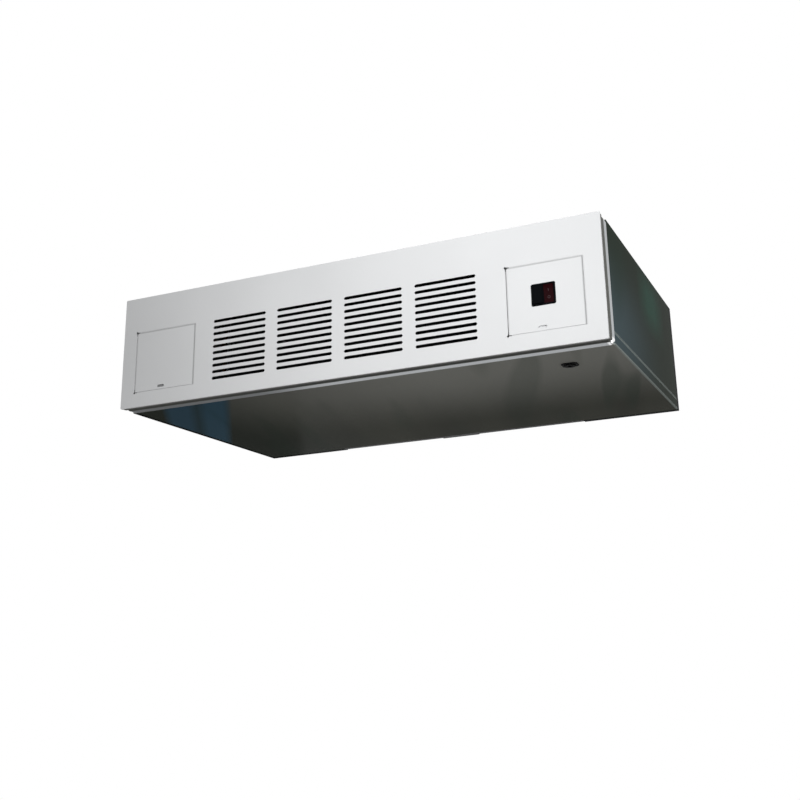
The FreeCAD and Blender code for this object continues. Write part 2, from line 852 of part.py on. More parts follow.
def make_door(side):
    """Door tray with pin holes in its upper and lower flanges and a finger slot."""
    body = new_body(side + "_door")
    left, right = door_left[side], door_right[side]
    pad(body, "XZ", front_face, door_back, rectangle(left, door_low, right, door_high))
    pocket(body, "XZ", front_face + dim.door_skin, door_back,
           rectangle(left + dim.door_skin, door_low + dim.door_skin,
                     right - dim.door_skin, door_high - dim.door_skin))
    pocket(body, "XY", door_low, door_high,
           circle(hinge_x[side], hinge_y, dim.pin_radius + dim.pin_clearance))
    pull_half = dim.pull_width / 2
    middle = pull_middle[side]
    pocket(body, "XZ", front_face, front_face + dim.door_skin,
           chamfered(middle - pull_half, pull_z - dim.pull_height / 2,
                     middle + pull_half, pull_z + dim.pull_height / 2, dim.pull_corner))
    if side == "right":
        pocket(body, "XZ", front_face, front_face + dim.door_skin,
               rectangle(switch_x - switch_half_width, switch_z - switch_half_height,
                         switch_x + switch_half_width, switch_z + switch_half_height))


def make_finger_pull(side):
    """Moulded cup behind the door's finger slot."""
    body = new_body(side + "_finger_pull")
    middle = pull_middle[side]
    half = dim.pull_width / 2
    wall = dim.door_skin
    cup_low = pull_z - dim.pull_height / 2
    cup_high = pull_z + dim.pull_height / 2
    pad(body, "XZ", front_face + dim.door_skin, front_face + dim.door_skin + dim.pull_depth,
        rectangle(middle - half - wall, cup_low - wall, middle + half + wall, cup_high + wall))
    pocket(body, "XZ", front_face + dim.door_skin,
           front_face + dim.door_skin + dim.pull_depth - wall,
           rectangle(middle - half, cup_low, middle + half, cup_high))


for side in ("left", "right"):
    make_door(side)
    make_finger_pull(side)

# Hinge brackets on the panel's back, above and below each door, each with a fixed pin
bracket_half = dim.bracket_width / 2
bracket_parts = []
pin_parts = []
for side in ("left", "right"):
    for direction, edge in ((1, opening_top), (-1, opening_bottom)):
        where = f"{side}_{'upper' if direction > 0 else 'lower'}"
        near = edge + direction * dim.bracket_gap
        far = near + direction * dim.bracket_skin
        tip = near + direction * dim.bracket_leg
        low, high = sorted((near, far))
        shelf = block(f"{where}_shelf", (hinge_x[side] - bracket_half, panel_back, low),
                      (hinge_x[side] + bracket_half, door_back + dim.hinge_inset, high))
        low, high = sorted((near, tip))
        leg = block(f"{where}_leg", (hinge_x[side] - bracket_half, panel_back, low),
                    (hinge_x[side] + bracket_half, panel_back + dim.bracket_skin, high))
        foot = edge - direction * (dim.door_gap + dim.door_skin + dim.pin_overrun)
        low, high = sorted((foot, tip))
        pin_parts.append(rod(f"{where}_pin", "Z", (hinge_x[side], hinge_y, low),
                             dim.pin_radius, high - low))
        bore = rod(f"{where}_bore", "Z", (hinge_x[side], hinge_y, low), dim.pin_radius, high - low)
        bracket_parts.append(cut(f"{where}_bracket", joined(f"{where}_angle", [shelf, leg]), bore))
keep("hinge_brackets", group("hinge_brackets", bracket_parts))
keep("hinge_pins", group("hinge_pins", pin_parts))

# Magnetic catches on the panel's back, at the free edge of each door
catch_half = dim.catch_width / 2
magnet_half = dim.magnet_width / 2
catch_front = door_back + dim.fit_gap
catch_parts = []
magnet_parts = []
for side in ("left", "right"):
    middle = (door_low + door_high) / 2
    near = door_right[side] - dim.door_return
    root = opening_right[side] + dim.door_gap
    plate = block(f"{side}_catch_plate", (near, catch_front + dim.hinge_inset, middle - catch_half),
                  (root + dim.bracket_skin, catch_front + dim.hinge_inset + dim.bracket_skin,
                   middle + catch_half))
    web = block(f"{side}_catch_web", (root, panel_back, middle - catch_half),
                (root + dim.bracket_skin, catch_front + dim.hinge_inset + dim.bracket_skin,
                 middle + catch_half))
    catch_parts.append(joined(f"{side}_catch", [plate, web]))
    magnet_parts.append(block(f"{side}_magnet", (near, catch_front, middle - magnet_half),
                              (opening_right[side], catch_front + dim.hinge_inset,
                               middle + magnet_half)))
keep("door_catches", group("door_catches", catch_parts))
keep("catch_magnets", group("catch_magnets", magnet_parts))

# Twin rocker switch: a black housing with a flange, snapped into the right door
bezel_front = derived("bezel_front", front_face - dim.bezel_skin)
switch_back = derived("switch_back", front_face + dim.switch_depth)
rocker_y = derived("rocker_y", bezel_front + dim.rocker_set_back)
window_half_height = dim.rocker_height / 2 + dim.rocker_end_gap
window_half_width = dim.rocker_width / 2 + dim.rocker_play
rocker_offset = window_half_width + dim.switch_wall / 2
rocker_x = {"speed": switch_x - rocker_offset, "power": switch_x + rocker_offset}
housing = new_body("switch_housing")
pad(housing, "XZ", bezel_front, front_face,
    chamfered(switch_x - dim.bezel_width / 2, switch_z - dim.bezel_height / 2,
              switch_x + dim.bezel_width / 2, switch_z + dim.bezel_height / 2, dim.switch_wall))
bevel_edges(housing, dim.bezel_skin * BEZEL_BEVEL,
            lambda edge: abs(edge.BoundBox.YMax - bezel_front.number) < 1e-4)
pad(housing, "XZ", front_face, switch_back,
    rectangle(switch_x - switch_half_width + dim.fit_gap, switch_z - switch_half_height + dim.fit_gap,
              switch_x + switch_half_width - dim.fit_gap, switch_z + switch_half_height - dim.fit_gap))
windows = []
for middle in rocker_x.values():
    windows.append(rectangle(middle - window_half_width, switch_z - window_half_height,
                             middle + window_half_width, switch_z + window_half_height))
pocket(housing, "XZ", bezel_front, switch_back - dim.switch_wall, *windows)
bore_reach = window_half_width + dim.trunnion_seat + dim.fit_gap
pocket(housing, "YZ", rocker_x["speed"] - bore_reach, rocker_x["power"] + bore_reach,
       circle(rocker_y, switch_z, dim.trunnion_radius + dim.pin_clearance))


def make_rocker(name, middle, tilt):
    """Rocker with a hollow round face and a trunnion each side, stored tilted by an angle."""
    body = doc.addObject("PartDesign::Body", name)
    half = dim.rocker_width / 2
    reach = dim.rocker_height / 2
    tip = -(dim.rocker_set_back + dim.rocker_dish)
    face = -dim.rocker_set_back
    back = dim.rocker_set_back
    waist = dim.trunnion_radius
    shoulder = reach * ROCKER_SHOULDER
    keel = reach * ROCKER_KEEL
    face_radius = (reach * reach + dim.rocker_dish * dim.rocker_dish) / (dim.rocker_dish * 2)
    pad(body, "YZ", -half, half, outline(
        (tip, -reach, face - face_radius, 0), (waist, -shoulder), (back, -keel), (back, keel),
        (waist, shoulder), (tip, reach)))
    axle = half + dim.rocker_play + dim.trunnion_seat
    pad(body, "YZ", -axle, axle, circle(0, 0, dim.trunnion_radius))
    place(body, middle, rocker_y, switch_z, Rotation(Vector(1, 0, 0), tilt))
    return keep(name, body)


make_rocker("speed_rocker", rocker_x["speed"], 0)
make_rocker("power_rocker", rocker_x["power"], SIZES["rocker_tilt"])

# Spade terminals at the back of the switch
tab_parts = []
for middle in rocker_x.values():
    for level in (-1, 0, 1):
        tab_z = switch_z + level * dim.rocker_height / 3
        tab_parts.append(block(
            f"switch_tab_{len(tab_parts) + 1}",
            (middle - dim.tab_width / 2, switch_back, tab_z - dim.tab_skin / 2),
            (middle + dim.tab_width / 2, switch_back + dim.tab_length, tab_z + dim.tab_skin / 2)))
keep("switch_tabs", group("switch_tabs", tab_parts))

# Spring clips that hold the front panel to the collar, three above and three below
clip_parts = []
for across in (-1, 0, 1):
    middle = across * (right_face - dim.clip_margin)
    for direction, edge in ((-1, top_face - collar_inner), (1, bottom_face + collar_inner)):
        low, high = sorted((edge, edge + direction * dim.flange_width / 2))
        upright = block(f"clip_upright_{len(clip_parts) + 1}",
                        (middle - dim.flange_width / 2, panel_back, low),
                        (middle + dim.flange_width / 2, panel_back + dim.clip_skin, high))
        low, high = sorted((edge, edge + direction * dim.clip_skin))
        spring = block(f"clip_spring_{len(clip_parts) + 1}",
                       (middle - dim.flange_width / 2, panel_back, low),
                       (middle + dim.flange_width / 2, panel_back + dim.flange_width, high))
        clip_parts.append(joined(f"panel_clip_{len(clip_parts) + 1}", [upright, spring]))
keep("panel_clips", group("panel_clips", clip_parts))

# Levels of the coil and the drain pan
coil_front = derived("coil_front", front_face + dim.coil_set_back)
coil_rear = derived("coil_rear", coil_front + dim.row_spacing * TUBE_ROWS)
fins_low = derived("fins_low", floor_level + dim.coil_lift)
fins_high = derived("fins_high", fins_low + dim.tube_pitch * TUBES_HIGH)
fin_half = derived("fin_half", bulkhead_x - dim.fin_end_gap)
plate_x = derived("plate_x", fin_half + dim.end_plate_gap)
tube_rows_y = [coil_front + dim.row_spacing * (row + 0.5) for row in range(TUBE_ROWS)]
tube_levels = [fins_low + dim.tube_pitch * (level + 0.5) for level in range(TUBES_HIGH)]
pan_low = derived("pan_low", floor_level + dim.pan_foam)
pan_high = derived("pan_high", pan_low + dim.pan_height)
pan_front = derived("pan_front", coil_front - dim.pan_margin)
pan_rear = derived("pan_rear", coil_rear + dim.pan_margin * 2)
pan_left = derived("pan_left", -bulkhead_x - dim.pan_reach)
pan_right = derived("pan_right", bulkhead_x - dim.chassis_skin - dim.fit_gap)
spout_x = derived("spout_x", -bulkhead_x - dim.spout_offset)
spout_z = derived("spout_z", pan_low + dim.pan_skin + dim.spout_radius + dim.fit_gap)
deck_front = derived("deck_front", front_face + dim.deck_position)
deck_rear = derived("deck_rear", deck_front + dim.chassis_skin)
foam_low = derived("foam_low", -dim.foam_thickness)

# Bulkheads: partitions between the air path and the two bays, with flanges turned outwards


def make_bulkhead(name, side):
    """Partition plate; the left one has a hole for each header's tubes and one for the pan."""
    body = new_body(name)
    outer = side * bulkhead_x
    low, high = sorted((outer, outer - side * dim.chassis_skin))
    neck_low = bottom_face + collar_inner + dim.fit_gap
    neck_high = top_face - collar_inner - dim.fit_gap
    pad(body, "YZ", low, high, outline(
        (panel_back, neck_low), (body_front + dim.case_skin, neck_low),
        (body_front + dim.case_skin, floor_level),
        (rear_wall - dim.flange_width, floor_level), (rear_wall - dim.flange_width, -dim.channel_height),
        (body_front, -dim.channel_height), (panel_back, neck_high)))
    flange_low, flange_high = sorted((outer, outer + side * dim.flange_width))
    pad(body, "XY", floor_level, floor_level + dim.chassis_skin,
        rectangle(flange_low, pan_rear + dim.bend_radius,
                  flange_high, rear_wall - dim.flange_width))
    pad(body, "XY", -dim.channel_height - dim.chassis_skin, -dim.channel_height,
        rectangle(flange_low, body_front + dim.case_skin + dim.bend_radius,
                  flange_high, rear_wall - dim.flange_width))
    if side < 0:
        slack = dim.tube_radius + dim.bend_radius
        holes = [rectangle(pan_front - dim.fit_gap, bottom_face,
                           pan_rear + dim.fit_gap, pan_high + dim.fit_gap)]
        for level in (tube_levels[0], tube_levels[-1]):
            holes.append(chamfered(tube_rows_y[0] - slack, level - slack,
                                   tube_rows_y[-1] + slack, level + slack, dim.bend_radius))
        pocket(body, "YZ", low, high, *holes)


make_bulkhead("bulkhead_left", -1)
make_bulkhead("bulkhead_right", 1)

# Foam under the top panel, in three strips between the hanger channels
foam = new_body("top_insulation")
foam_half = bulkhead_x - dim.chassis_skin
strip_gap = dim.channel_width / 2 + dim.fit_gap
foam_ends = [(body_front + dim.flange_width / 2, -hanger_y - strip_gap),
             (-hanger_y + strip_gap, hanger_y - strip_gap),
             (hanger_y + strip_gap, rear_wall - dim.flange_width - dim.fit_gap)]
pad(foam, "XY", foam_low, 0,
    *[rectangle(-foam_half, low, foam_half, high) for low, high in foam_ends])

# Drain pan on a foam bed: it runs through the left bulkhead to lie below the headers as well,
# with a beaded spout that faces the pipe opening
pan_bed = new_body("pan_insulation")
pad(pan_bed, "XY", floor_level, pan_low, rectangle(pan_left, pan_front, pan_right, pan_rear))
pan = new_body("drain_pan")
pad(pan, "XY", pan_low, pan_high, rectangle(pan_left, pan_front, pan_right, pan_rear))
round_edges(pan, dim.bend_radius, lambda edge: along(edge, Vector(0, 0, 1)))
pocket(pan, "XY", pan_low + dim.pan_skin, pan_high,
       rectangle(pan_left + dim.pan_skin, pan_front + dim.pan_skin,
                 pan_right - dim.pan_skin, pan_rear - dim.pan_skin))
bead_start = pan_rear + dim.spout_root
bead_end = bead_start + dim.bead_width
spout_tip = bead_end + dim.spout_grip
pad(pan, "XZ", pan_rear - dim.pan_skin, spout_tip, circle(spout_x, spout_z, dim.spout_radius))
pad(pan, "XZ", bead_start, bead_end, circle(spout_x, spout_z, dim.bead_radius))
pocket(pan, "XZ", pan_rear - dim.pan_skin, spout_tip, circle(spout_x, spout_z, dim.spout_bore))

# Coil: thin fins on expanded tubes between two flanged end plates
fin_count = int((fin_half * 2 / dim.fin_pitch).number) + 1


def make_fins():
    """All the fins as separate plates of one node."""
    first = -dim.fin_pitch.number * (fin_count - 1) / 2
    depth = (coil_rear - coil_front).number
    height = (fins_high - fins_low).number
    plates = []
    for index in range(fin_count):
        corner = Vector(first + index * dim.fin_pitch.number - dim.fin_skin.number / 2,
                        coil_front.number, fins_low.number)
        plates.append(Part.makeBox(dim.fin_skin.number, depth, height, corner))
    fins = doc.addObject("Part::Feature", "coil_fins")
    fins.Shape = Part.makeCompound(plates)
    return keep("coil_fins", fins)


make_fins()


def make_end_plates():
    """End plates that stand in the pan, with a hole for every tube and a cover strip on top."""
    body = new_body("coil_end_plates")
    plate_low = pan_low + dim.pan_skin
    plate_high = fins_high + dim.end_plate_gap
    for side in (-1, 1):
        low, high = sorted((side * plate_x, side * (plate_x + dim.end_plate_skin)))
        pad(body, "YZ", low, high,
            rectangle(coil_front - dim.end_plate_gap, plate_low,
                      coil_rear + dim.end_plate_gap, plate_high))
        pocket(body, "YZ", low, high,
               *[polygon(y, z, dim.tube_radius + dim.fit_gap, HOLE_SIDES)
                 for y in tube_rows_y for z in tube_levels])
    pad(body, "XY", plate_high, plate_high + dim.end_plate_skin,
        rectangle(-plate_x - dim.end_plate_skin, coil_front - dim.end_plate_gap,
                  plate_x + dim.end_plate_skin, coil_rear + dim.end_plate_gap))
    pad(body, "XZ", coil_rear + dim.end_plate_gap - dim.end_plate_skin, coil_rear + dim.end_plate_gap,
        rectangle(-plate_x - dim.end_plate_skin, plate_high,
                  plate_x + dim.end_plate_skin, foam_low - dim.fit_gap))


make_end_plates()
tube_end = derived("tube_end", plate_x + dim.end_plate_skin + dim.end_plate_gap)
header_x = derived("header_x", -bulkhead_x - dim.header_offset)
tube_parts = []
for row, y in enumerate(tube_rows_y):
    for level, z in enumerate(tube_levels):
        reaches_header = level in (0, TUBES_HIGH - 1)
        start = header_x if reaches_header else -tube_end
        tube_parts.append(bar(f"tube_{row + 1}_{level + 1}", "X", (start, y, z),
                              dim.tube_radius, tube_end - start, TUBE_SIDES))
keep("coil_tubes", group("coil_tubes", tube_parts))


def make_bend():
    """Return bend to the right: a half turn of tube in mitred steps, about its own middle."""
    radius = dim.tube_radius.number
    turning = dim.tube_pitch.number / 2
    rings = []
    for step in range(BEND_STEPS + 1):
        turned = Rotation(Vector(0, 1, 0), 180 * step / BEND_STEPS)
        ring = []
        for corner in range(TUBE_SIDES):
            angle = 2 * math.pi * corner / TUBE_SIDES
            ring.append(turned.multVec(
                Vector(0, radius * math.cos(angle), turning + radius * math.sin(angle))))
        rings.append(ring)
    faces = [Part.Face(Part.makePolygon(ring + ring[:1])) for ring in (rings[0], rings[-1])]
    for near, far in zip(rings, rings[1:]):
        for corner in range(TUBE_SIDES):
            flat = [near[corner - 1], near[corner], far[corner], far[corner - 1]]
            faces.append(Part.Face(Part.makePolygon(flat + flat[:1])))
    return Part.makeSolid(Part.makeShell(faces))


HALF_TURNS = {1: Rotation(), -1: Rotation(Vector(0, 0, 1), 180)}
bend_shape = make_bend()
bend_parts = []
for y in tube_rows_y:
    for level in range(TUBES_HIGH - 1):
        side = 1 if level % 2 == 0 else -1
        z = (tube_levels[level] + tube_levels[level + 1]) / 2
        bend = doc.addObject("Part::Feature", f"bend_{len(bend_parts) + 1}")
        bend.Shape = bend_shape
        bend_parts.append(place(bend, side * tube_end, y, z, HALF_TURNS[side]))
keep("return_bends", group("return_bends", bend_parts))


# Headers: one pipe joins the two lowest tubes, the other the two highest, and both run rearwards
header_front = derived("header_front", coil_front - dim.end_plate_gap)
header_rear = derived("header_rear", header_front + dim.header_length)


def make_header(name, level):
    """Pipe along Y, closed at the front by its own end cap and open at its union."""
    body = new_body(name)
    z = tube_levels[level]
    pad(body, "XZ", header_front, header_rear, circle(header_x, z, dim.header_radius))
    pocket(body, "XZ", header_front + dim.pan_skin, header_rear,
           circle(header_x, z, dim.header_radius - dim.pan_skin))
    for y in tube_rows_y:
        pocket(body, "YZ", header_x, header_x + dim.header_radius * 2,
               polygon(y, z, dim.tube_radius, TUBE_SIDES))
    return body


make_header("supply_header", 0)
make_header("return_header", -1)


def make_union(name, level):
    """Brass union nut with a female thread that faces rearwards."""
    body = new_body(name)
    z = tube_levels[level]
    start = header_rear - dim.union_socket
    end = header_rear + dim.union_length
    pad(body, "XZ", start, end, polygon(header_x, z, dim.union_radius, HEX_SIDES))
    pocket(body, "XZ", start, end, circle(header_x, z, dim.header_radius))
    pocket(body, "XZ", end - dim.union_thread_depth, end, circle(header_x, z, dim.union_bore))


make_union("supply_union", 0)
make_union("return_union", -1)

# Air vent: a bleed screw on top of the upper header
vent_y = header_front + dim.union_length
vent_base = tube_levels[-1] + dim.header_radius - dim.pan_skin
vent_parts = [bar("vent_stem", "Z", (header_x, vent_y, vent_base), dim.tube_radius,
                  dim.vent_height, TUBE_SIDES),
              bar("vent_cap", "Z", (header_x, vent_y, vent_base + dim.vent_height),
                  dim.vent_radius, dim.tube_radius, HEX_SIDES)]
return_pipe_space = rod("return_pipe_space", "Y", (header_x, header_front, tube_levels[-1]),
                        dim.header_radius, dim.header_length)
keep("air_vent", cut("air_vent", joined("vent_body", vent_parts), return_pipe_space))

# Fan deck: the wall between the inlet side and the coil, with an outlet for each blower
growth = dim.scroll_growth
scroll_top = derived("scroll_top", foam_low - dim.scroll_top_gap)
scroll_bottom = derived("scroll_bottom", floor_level + dim.scroll_floor_gap)
scroll_start = derived("scroll_start", (scroll_top - scroll_bottom - growth * 3) / 2)
scroll_width = derived("scroll_width", bulkhead_x - dim.scroll_outer_gap - dim.scroll_inner_side)
blower_offset = derived("blower_offset", dim.scroll_inner_side + scroll_width / 2)
scroll_middle = {"left": -blower_offset, "right": blower_offset}
fan_y = derived("fan_y", deck_rear + scroll_start + dim.scroll_set_back)
fan_z = derived("fan_z", scroll_bottom + scroll_start + growth / 2)
impeller_radius = derived("impeller_radius", scroll_start - dim.tongue_gap)
impeller_width = derived("impeller_width", scroll_width - dim.wheel_side_gap * 2)
tongue_rise = derived("tongue_rise", scroll_start * math.sin(TONGUE_ANGLE))
outlet_low = derived("outlet_low", fan_z - growth / 2 + tongue_rise - growth)
deck_half = derived("deck_half", bulkhead_x - dim.chassis_skin)
deck = new_body("fan_deck")
pad(deck, "XZ", deck_front, deck_rear,
    rectangle(-deck_half, floor_level, deck_half, foam_low - dim.fit_gap))
pad(deck, "XZ", deck_rear, deck_rear + dim.flange_width,
    rectangle(-deck_half, floor_level, deck_half, floor_level + dim.chassis_skin))
deck_holes = []
for middle in scroll_middle.values():
    half = scroll_width / 2 - dim.scroll_skin
    deck_holes.append(rectangle(middle - half, outlet_low + dim.scroll_skin,
                                middle + half, scroll_top - dim.scroll_skin))
pocket(deck, "XZ", deck_front, deck_rear, *deck_holes)


def scroll(inset, outlet_end):
    """Spiral of three quarter arcs whose centres step round a square, and a straight outlet.

    The radius grows by one step at each quarter, from the tongue round to the top.
    """
    near_y = fan_y + growth / 2
    far_y = fan_y - growth / 2
    low_z = fan_z - growth / 2
    high_z = fan_z + growth / 2
    first = scroll_start - inset
    second = first + growth
    third = second + growth
    rise = tongue_rise + inset
    return outline(
        (outlet_end, outlet_low + inset),
        (near_y - (first * first - rise * rise).root(), low_z + rise),
        (near_y - first, low_z, near_y, low_z),
        (near_y, low_z - first, near_y, low_z),
        (near_y + second, high_z, near_y, high_z),
        (far_y, high_z + third, far_y, high_z),
        (outlet_end, high_z + third))


def make_blower_housing(name, middle):
    """Sheet scroll, open at the outlet and at both inlets, with an outlet flange."""
    body = new_body(name)
    half = scroll_width / 2
    inner = half - dim.scroll_skin
    pad(body, "YZ", middle - half, middle + half, scroll(as_size(0), deck_rear))
    pocket(body, "YZ", middle - inner, middle + inner, scroll(dim.scroll_skin, deck_rear - 1))
    pocket(body, "YZ", middle - half, middle + half,
           circle(fan_y, fan_z, impeller_radius - dim.inlet_lip))
    return body


for side, middle in scroll_middle.items():
    make_blower_housing(f"blower_housing_{side}", middle)


def make_impeller(name, middle):
    """Double-inlet wheel: a hub on a middle disc, bent blades and a ring at each end.

    Each blade starts out radial at its root and bends forwards in two flats to its tip, in the
    direction of rotation, which is about +X. The disc and the rings have a flat for each blade.
    """
    body = new_body(name)
    half = impeller_width / 2
    root = impeller_radius - dim.blade_chord
    pad(body, "YZ", -dim.hub_length / 2, dim.hub_length / 2,
        circle(0, 0, dim.hub_radius), circle(0, 0, dim.shaft_radius))
    pad(body, "YZ", -dim.scroll_skin, dim.scroll_skin,
        polygon(0, 0, impeller_radius, BLADES), circle(0, 0, dim.hub_radius - dim.scroll_skin))
    corners = []
    for bend, turns in ((dim.blade_chord, BLADE_TURNS), (dim.blade_chord - dim.blade_skin,
                                                         BLADE_TURNS[::-1])):
        for angle in turns:
            corners.append((bend * math.cos(angle) - dim.blade_chord,
                            root + bend * math.sin(angle)))
    blade = pad(body, "YZ", -half, half, outline(*corners))
    pattern = body.newObject("PartDesign::PolarPattern", name + "_blades")
    pattern.Originals = [blade]
    pattern.Axis = (axis_of(body, "X"), [""])
    pattern.Angle = 360
    pattern.Occurrences = BLADES
    body.Tip = pattern
    for low, high in ((-half, dim.wheel_ring_skin - half), (half - dim.wheel_ring_skin, half)):
        pad(body, "YZ", low, high, polygon(0, 0, impeller_radius, BLADES),
            polygon(0, 0, impeller_radius - dim.wheel_ring_width, BLADES))
    place(body, middle, fan_y, fan_z)


for side, middle in scroll_middle.items():
    make_impeller(f"impeller_{side}", middle)

shaft_half = blower_offset + dim.hub_length
keep("fan_shaft", rod("fan_shaft", "X", (-shaft_half, fan_y, fan_z), dim.shaft_radius, shaft_half * 2))

# Motor between the blowers, carried by rubber rings on its bosses
motor_half = derived("motor_half", dim.motor_length / 2)
boss_end = derived("boss_end", motor_half + dim.motor_boss_length)
shoulder = dim.motor_boss / 2


def make_motor():
    """Motor shell turned about the shaft, with coned ends and a boss at each end."""
    body = new_body("motor_body")
    turn(body, outline(
        (-boss_end, dim.bush_radius), (-boss_end, dim.motor_boss), (-motor_half, dim.motor_boss),
        (-motor_half, dim.motor_radius - shoulder), (-motor_half + shoulder, dim.motor_radius),
        (motor_half - shoulder, dim.motor_radius), (motor_half, dim.motor_radius - shoulder),
        (motor_half, dim.motor_boss), (boss_end, dim.motor_boss), (boss_end, dim.bush_radius)))
    place(body, 0, fan_y, fan_z)


make_motor()

# Sleeve bearings in the motor's ends, and keyed rubber rings with flats round its bosses
bush_parts = []
for low in (-boss_end, boss_end - dim.bush_length):
    number = len(bush_parts) + 1
    start = (low, fan_y, fan_z)
    shell = rod(f"bush_{number}_outer", "X", start, dim.bush_radius, dim.bush_length)
    bore = rod(f"bush_{number}_bore", "X", start, dim.shaft_radius + dim.running_clearance,
               dim.bush_length)
    bush_parts.append(cut(f"bush_{number}", shell, bore))
keep("motor_bushes", group("motor_bushes", bush_parts))
ring_start = derived("ring_start", motor_half + dim.ring_inset)
ring_parts = []
for low in (-ring_start - dim.ring_length, ring_start):
    number = len(ring_parts) + 1
    start = (low, fan_y, fan_z)
    shell = bar(f"ring_{number}_outer", "X", start, dim.ring_radius, dim.ring_length, RING_SIDES)
    bore = rod(f"ring_{number}_bore", "X", start, dim.motor_boss, dim.ring_length)
    ring_parts.append(cut(f"ring_{number}", shell, bore))
keep("motor_rubber_rings", group("motor_rubber_rings", ring_parts))

# Cradle: a folded channel on the fan deck whose two arms hold the rubber rings from below
cradle = new_body("motor_cradle")
arm_inner = derived("arm_inner", ring_start + (dim.ring_length - dim.cradle_skin) / 2)
arm_outer = derived("arm_outer", arm_inner + dim.cradle_skin)
cradle_low = derived("cradle_low", fan_z - dim.motor_radius - dim.motor_gap)
cradle_end = fan_y + dim.ring_radius + dim.flange_width / 2
pad(cradle, "YZ", -arm_outer, arm_outer,
    rectangle(deck_rear, cradle_low - dim.cradle_skin, cradle_end, fan_z))
pocket(cradle, "YZ", -arm_inner, arm_inner,
       rectangle(deck_rear + dim.cradle_skin, cradle_low, cradle_end, fan_z))
pocket(cradle, "YZ", -arm_outer, arm_outer,
       polygon(fan_y, fan_z, dim.ring_radius, RING_SIDES))

# Clamps: half straps over the rubber rings, with an ear on each arm of the cradle
strap_parts = []
ear = dim.ring_radius + dim.flange_width / 2
for low in (-arm_outer, arm_inner):
    number = len(strap_parts) + 1
    strap_radius = dim.ring_radius + dim.cradle_skin
    strap = bar(f"strap_{number}", "X", (low, fan_y, fan_z), strap_radius, dim.cradle_skin,
                RING_SIDES)
    ears = block(f"strap_ears_{number}", (low, fan_y - ear, fan_z),
                 (low + dim.cradle_skin, fan_y + ear, fan_z + dim.cradle_skin))
    lower = block(f"strap_lower_{number}", (low, fan_y - ear, fan_z - strap_radius),
                  (low + dim.cradle_skin, fan_y + ear, fan_z))
    bore = bar(f"strap_bore_{number}", "X", (low, fan_y, fan_z), dim.ring_radius,
               dim.cradle_skin, RING_SIDES)
    whole = joined(f"strap_whole_{number}", [strap, ears])
    strap_parts.append(cut(f"clamp_{number}", cut(f"strap_arch_{number}", whole, lower), bore))
keep("motor_clamps", group("motor_clamps", strap_parts))

# Return-air filter: a frame that slides down out of two upright rails on the rear panel
filter_front = derived("filter_front", rear_wall + dim.rail_skin + dim.filter_clearance)
filter_rear = derived("filter_rear", filter_front + dim.filter_thickness)
filter_top = derived("filter_top", -dim.filter_drop)
rail_top = derived("rail_top", filter_top + dim.flange_width / 4)


# Rails: upright channels that face inwards, each round one edge of the filter
rails = new_body("filter_rails")
rail_outlines = []
for side in (-1, 1):
    outer = side * (filter_half + dim.filter_clearance + dim.rail_skin)
    base = side * (filter_half + dim.filter_clearance)
    lip = side * (filter_half - dim.rail_grip)
    inner_rear = filter_rear + dim.filter_clearance
    rail_outlines.append(outline(
        (outer, rear_wall), (outer, inner_rear + dim.rail_skin), (lip, inner_rear + dim.rail_skin),
        (lip, inner_rear), (base, inner_rear), (base, rear_wall + dim.rail_skin),
        (lip, rear_wall + dim.rail_skin), (lip, rear_wall)))
pad(rails, "XY", floor_level, rail_top, *rail_outlines)

frame = new_body("filter_frame")
frame_inner = derived("frame_inner", filter_half - dim.filter_border)
pad(frame, "XZ", filter_front, filter_rear,
    rectangle(-filter_half, bottom_face, filter_half, filter_top),
    rectangle(-frame_inner, bottom_face + dim.filter_border, frame_inner,
              filter_top - dim.filter_border))
tab_half = dim.tab_reach / 2
pad(frame, "XY", bottom_face, bottom_face + dim.case_skin * 1.5,
    rectangle(-tab_half, filter_rear, tab_half, rear_face))

media_front = derived("media_front", filter_front + (dim.filter_thickness - dim.media_thickness) / 2)
keep("filter_media", block(
    "filter_media", (-frame_inner, media_front, bottom_face + dim.filter_border),
    (frame_inner, media_front + dim.media_thickness, filter_top - dim.filter_border)))

# Terminal box on the outer face of the right bulkhead, with a lid, a terminal strip inside
box_x = bulkhead_x
box_front = derived("box_front", deck_front - dim.box_overhang)
box_low = derived("box_low", bottom_face + dim.box_rise)
terminal_box = new_body("terminal_box")
pad(terminal_box, "YZ", box_x, box_x + dim.box_depth,
    rectangle(box_front, box_low, box_front + dim.box_length, box_low + dim.box_height))
pocket(terminal_box, "YZ", box_x + dim.box_skin, box_x + dim.box_depth,
       rectangle(box_front + dim.box_skin, box_low + dim.box_skin,
                 box_front + dim.box_length - dim.box_skin, box_low + dim.box_height - dim.box_skin))
box_middle = derived("box_middle", box_x + dim.box_depth / 2)
pocket(terminal_box, "XY", box_low, box_low + dim.box_skin,
       *[polygon(box_middle, box_front + dim.box_length / 4 * quarter, dim.box_entry_radius,
                 HOLE_SIDES) for quarter in (1, 3)])
lid = new_body("terminal_box_lid")
lid_lip = dim.box_skin + dim.fit_gap
lid_level = box_x + dim.box_depth
pad(lid, "YZ", lid_level - dim.flange_width / 2, lid_level + dim.box_skin,
    rectangle(box_front - lid_lip, box_low - lid_lip, box_front + dim.box_length + lid_lip,
              box_low + dim.box_height + lid_lip))
pocket(lid, "YZ", lid_level - dim.flange_width / 2, lid_level,
       rectangle(box_front - dim.fit_gap, box_low - dim.fit_gap,
                 box_front + dim.box_length + dim.fit_gap, box_low + dim.box_height + dim.fit_gap))

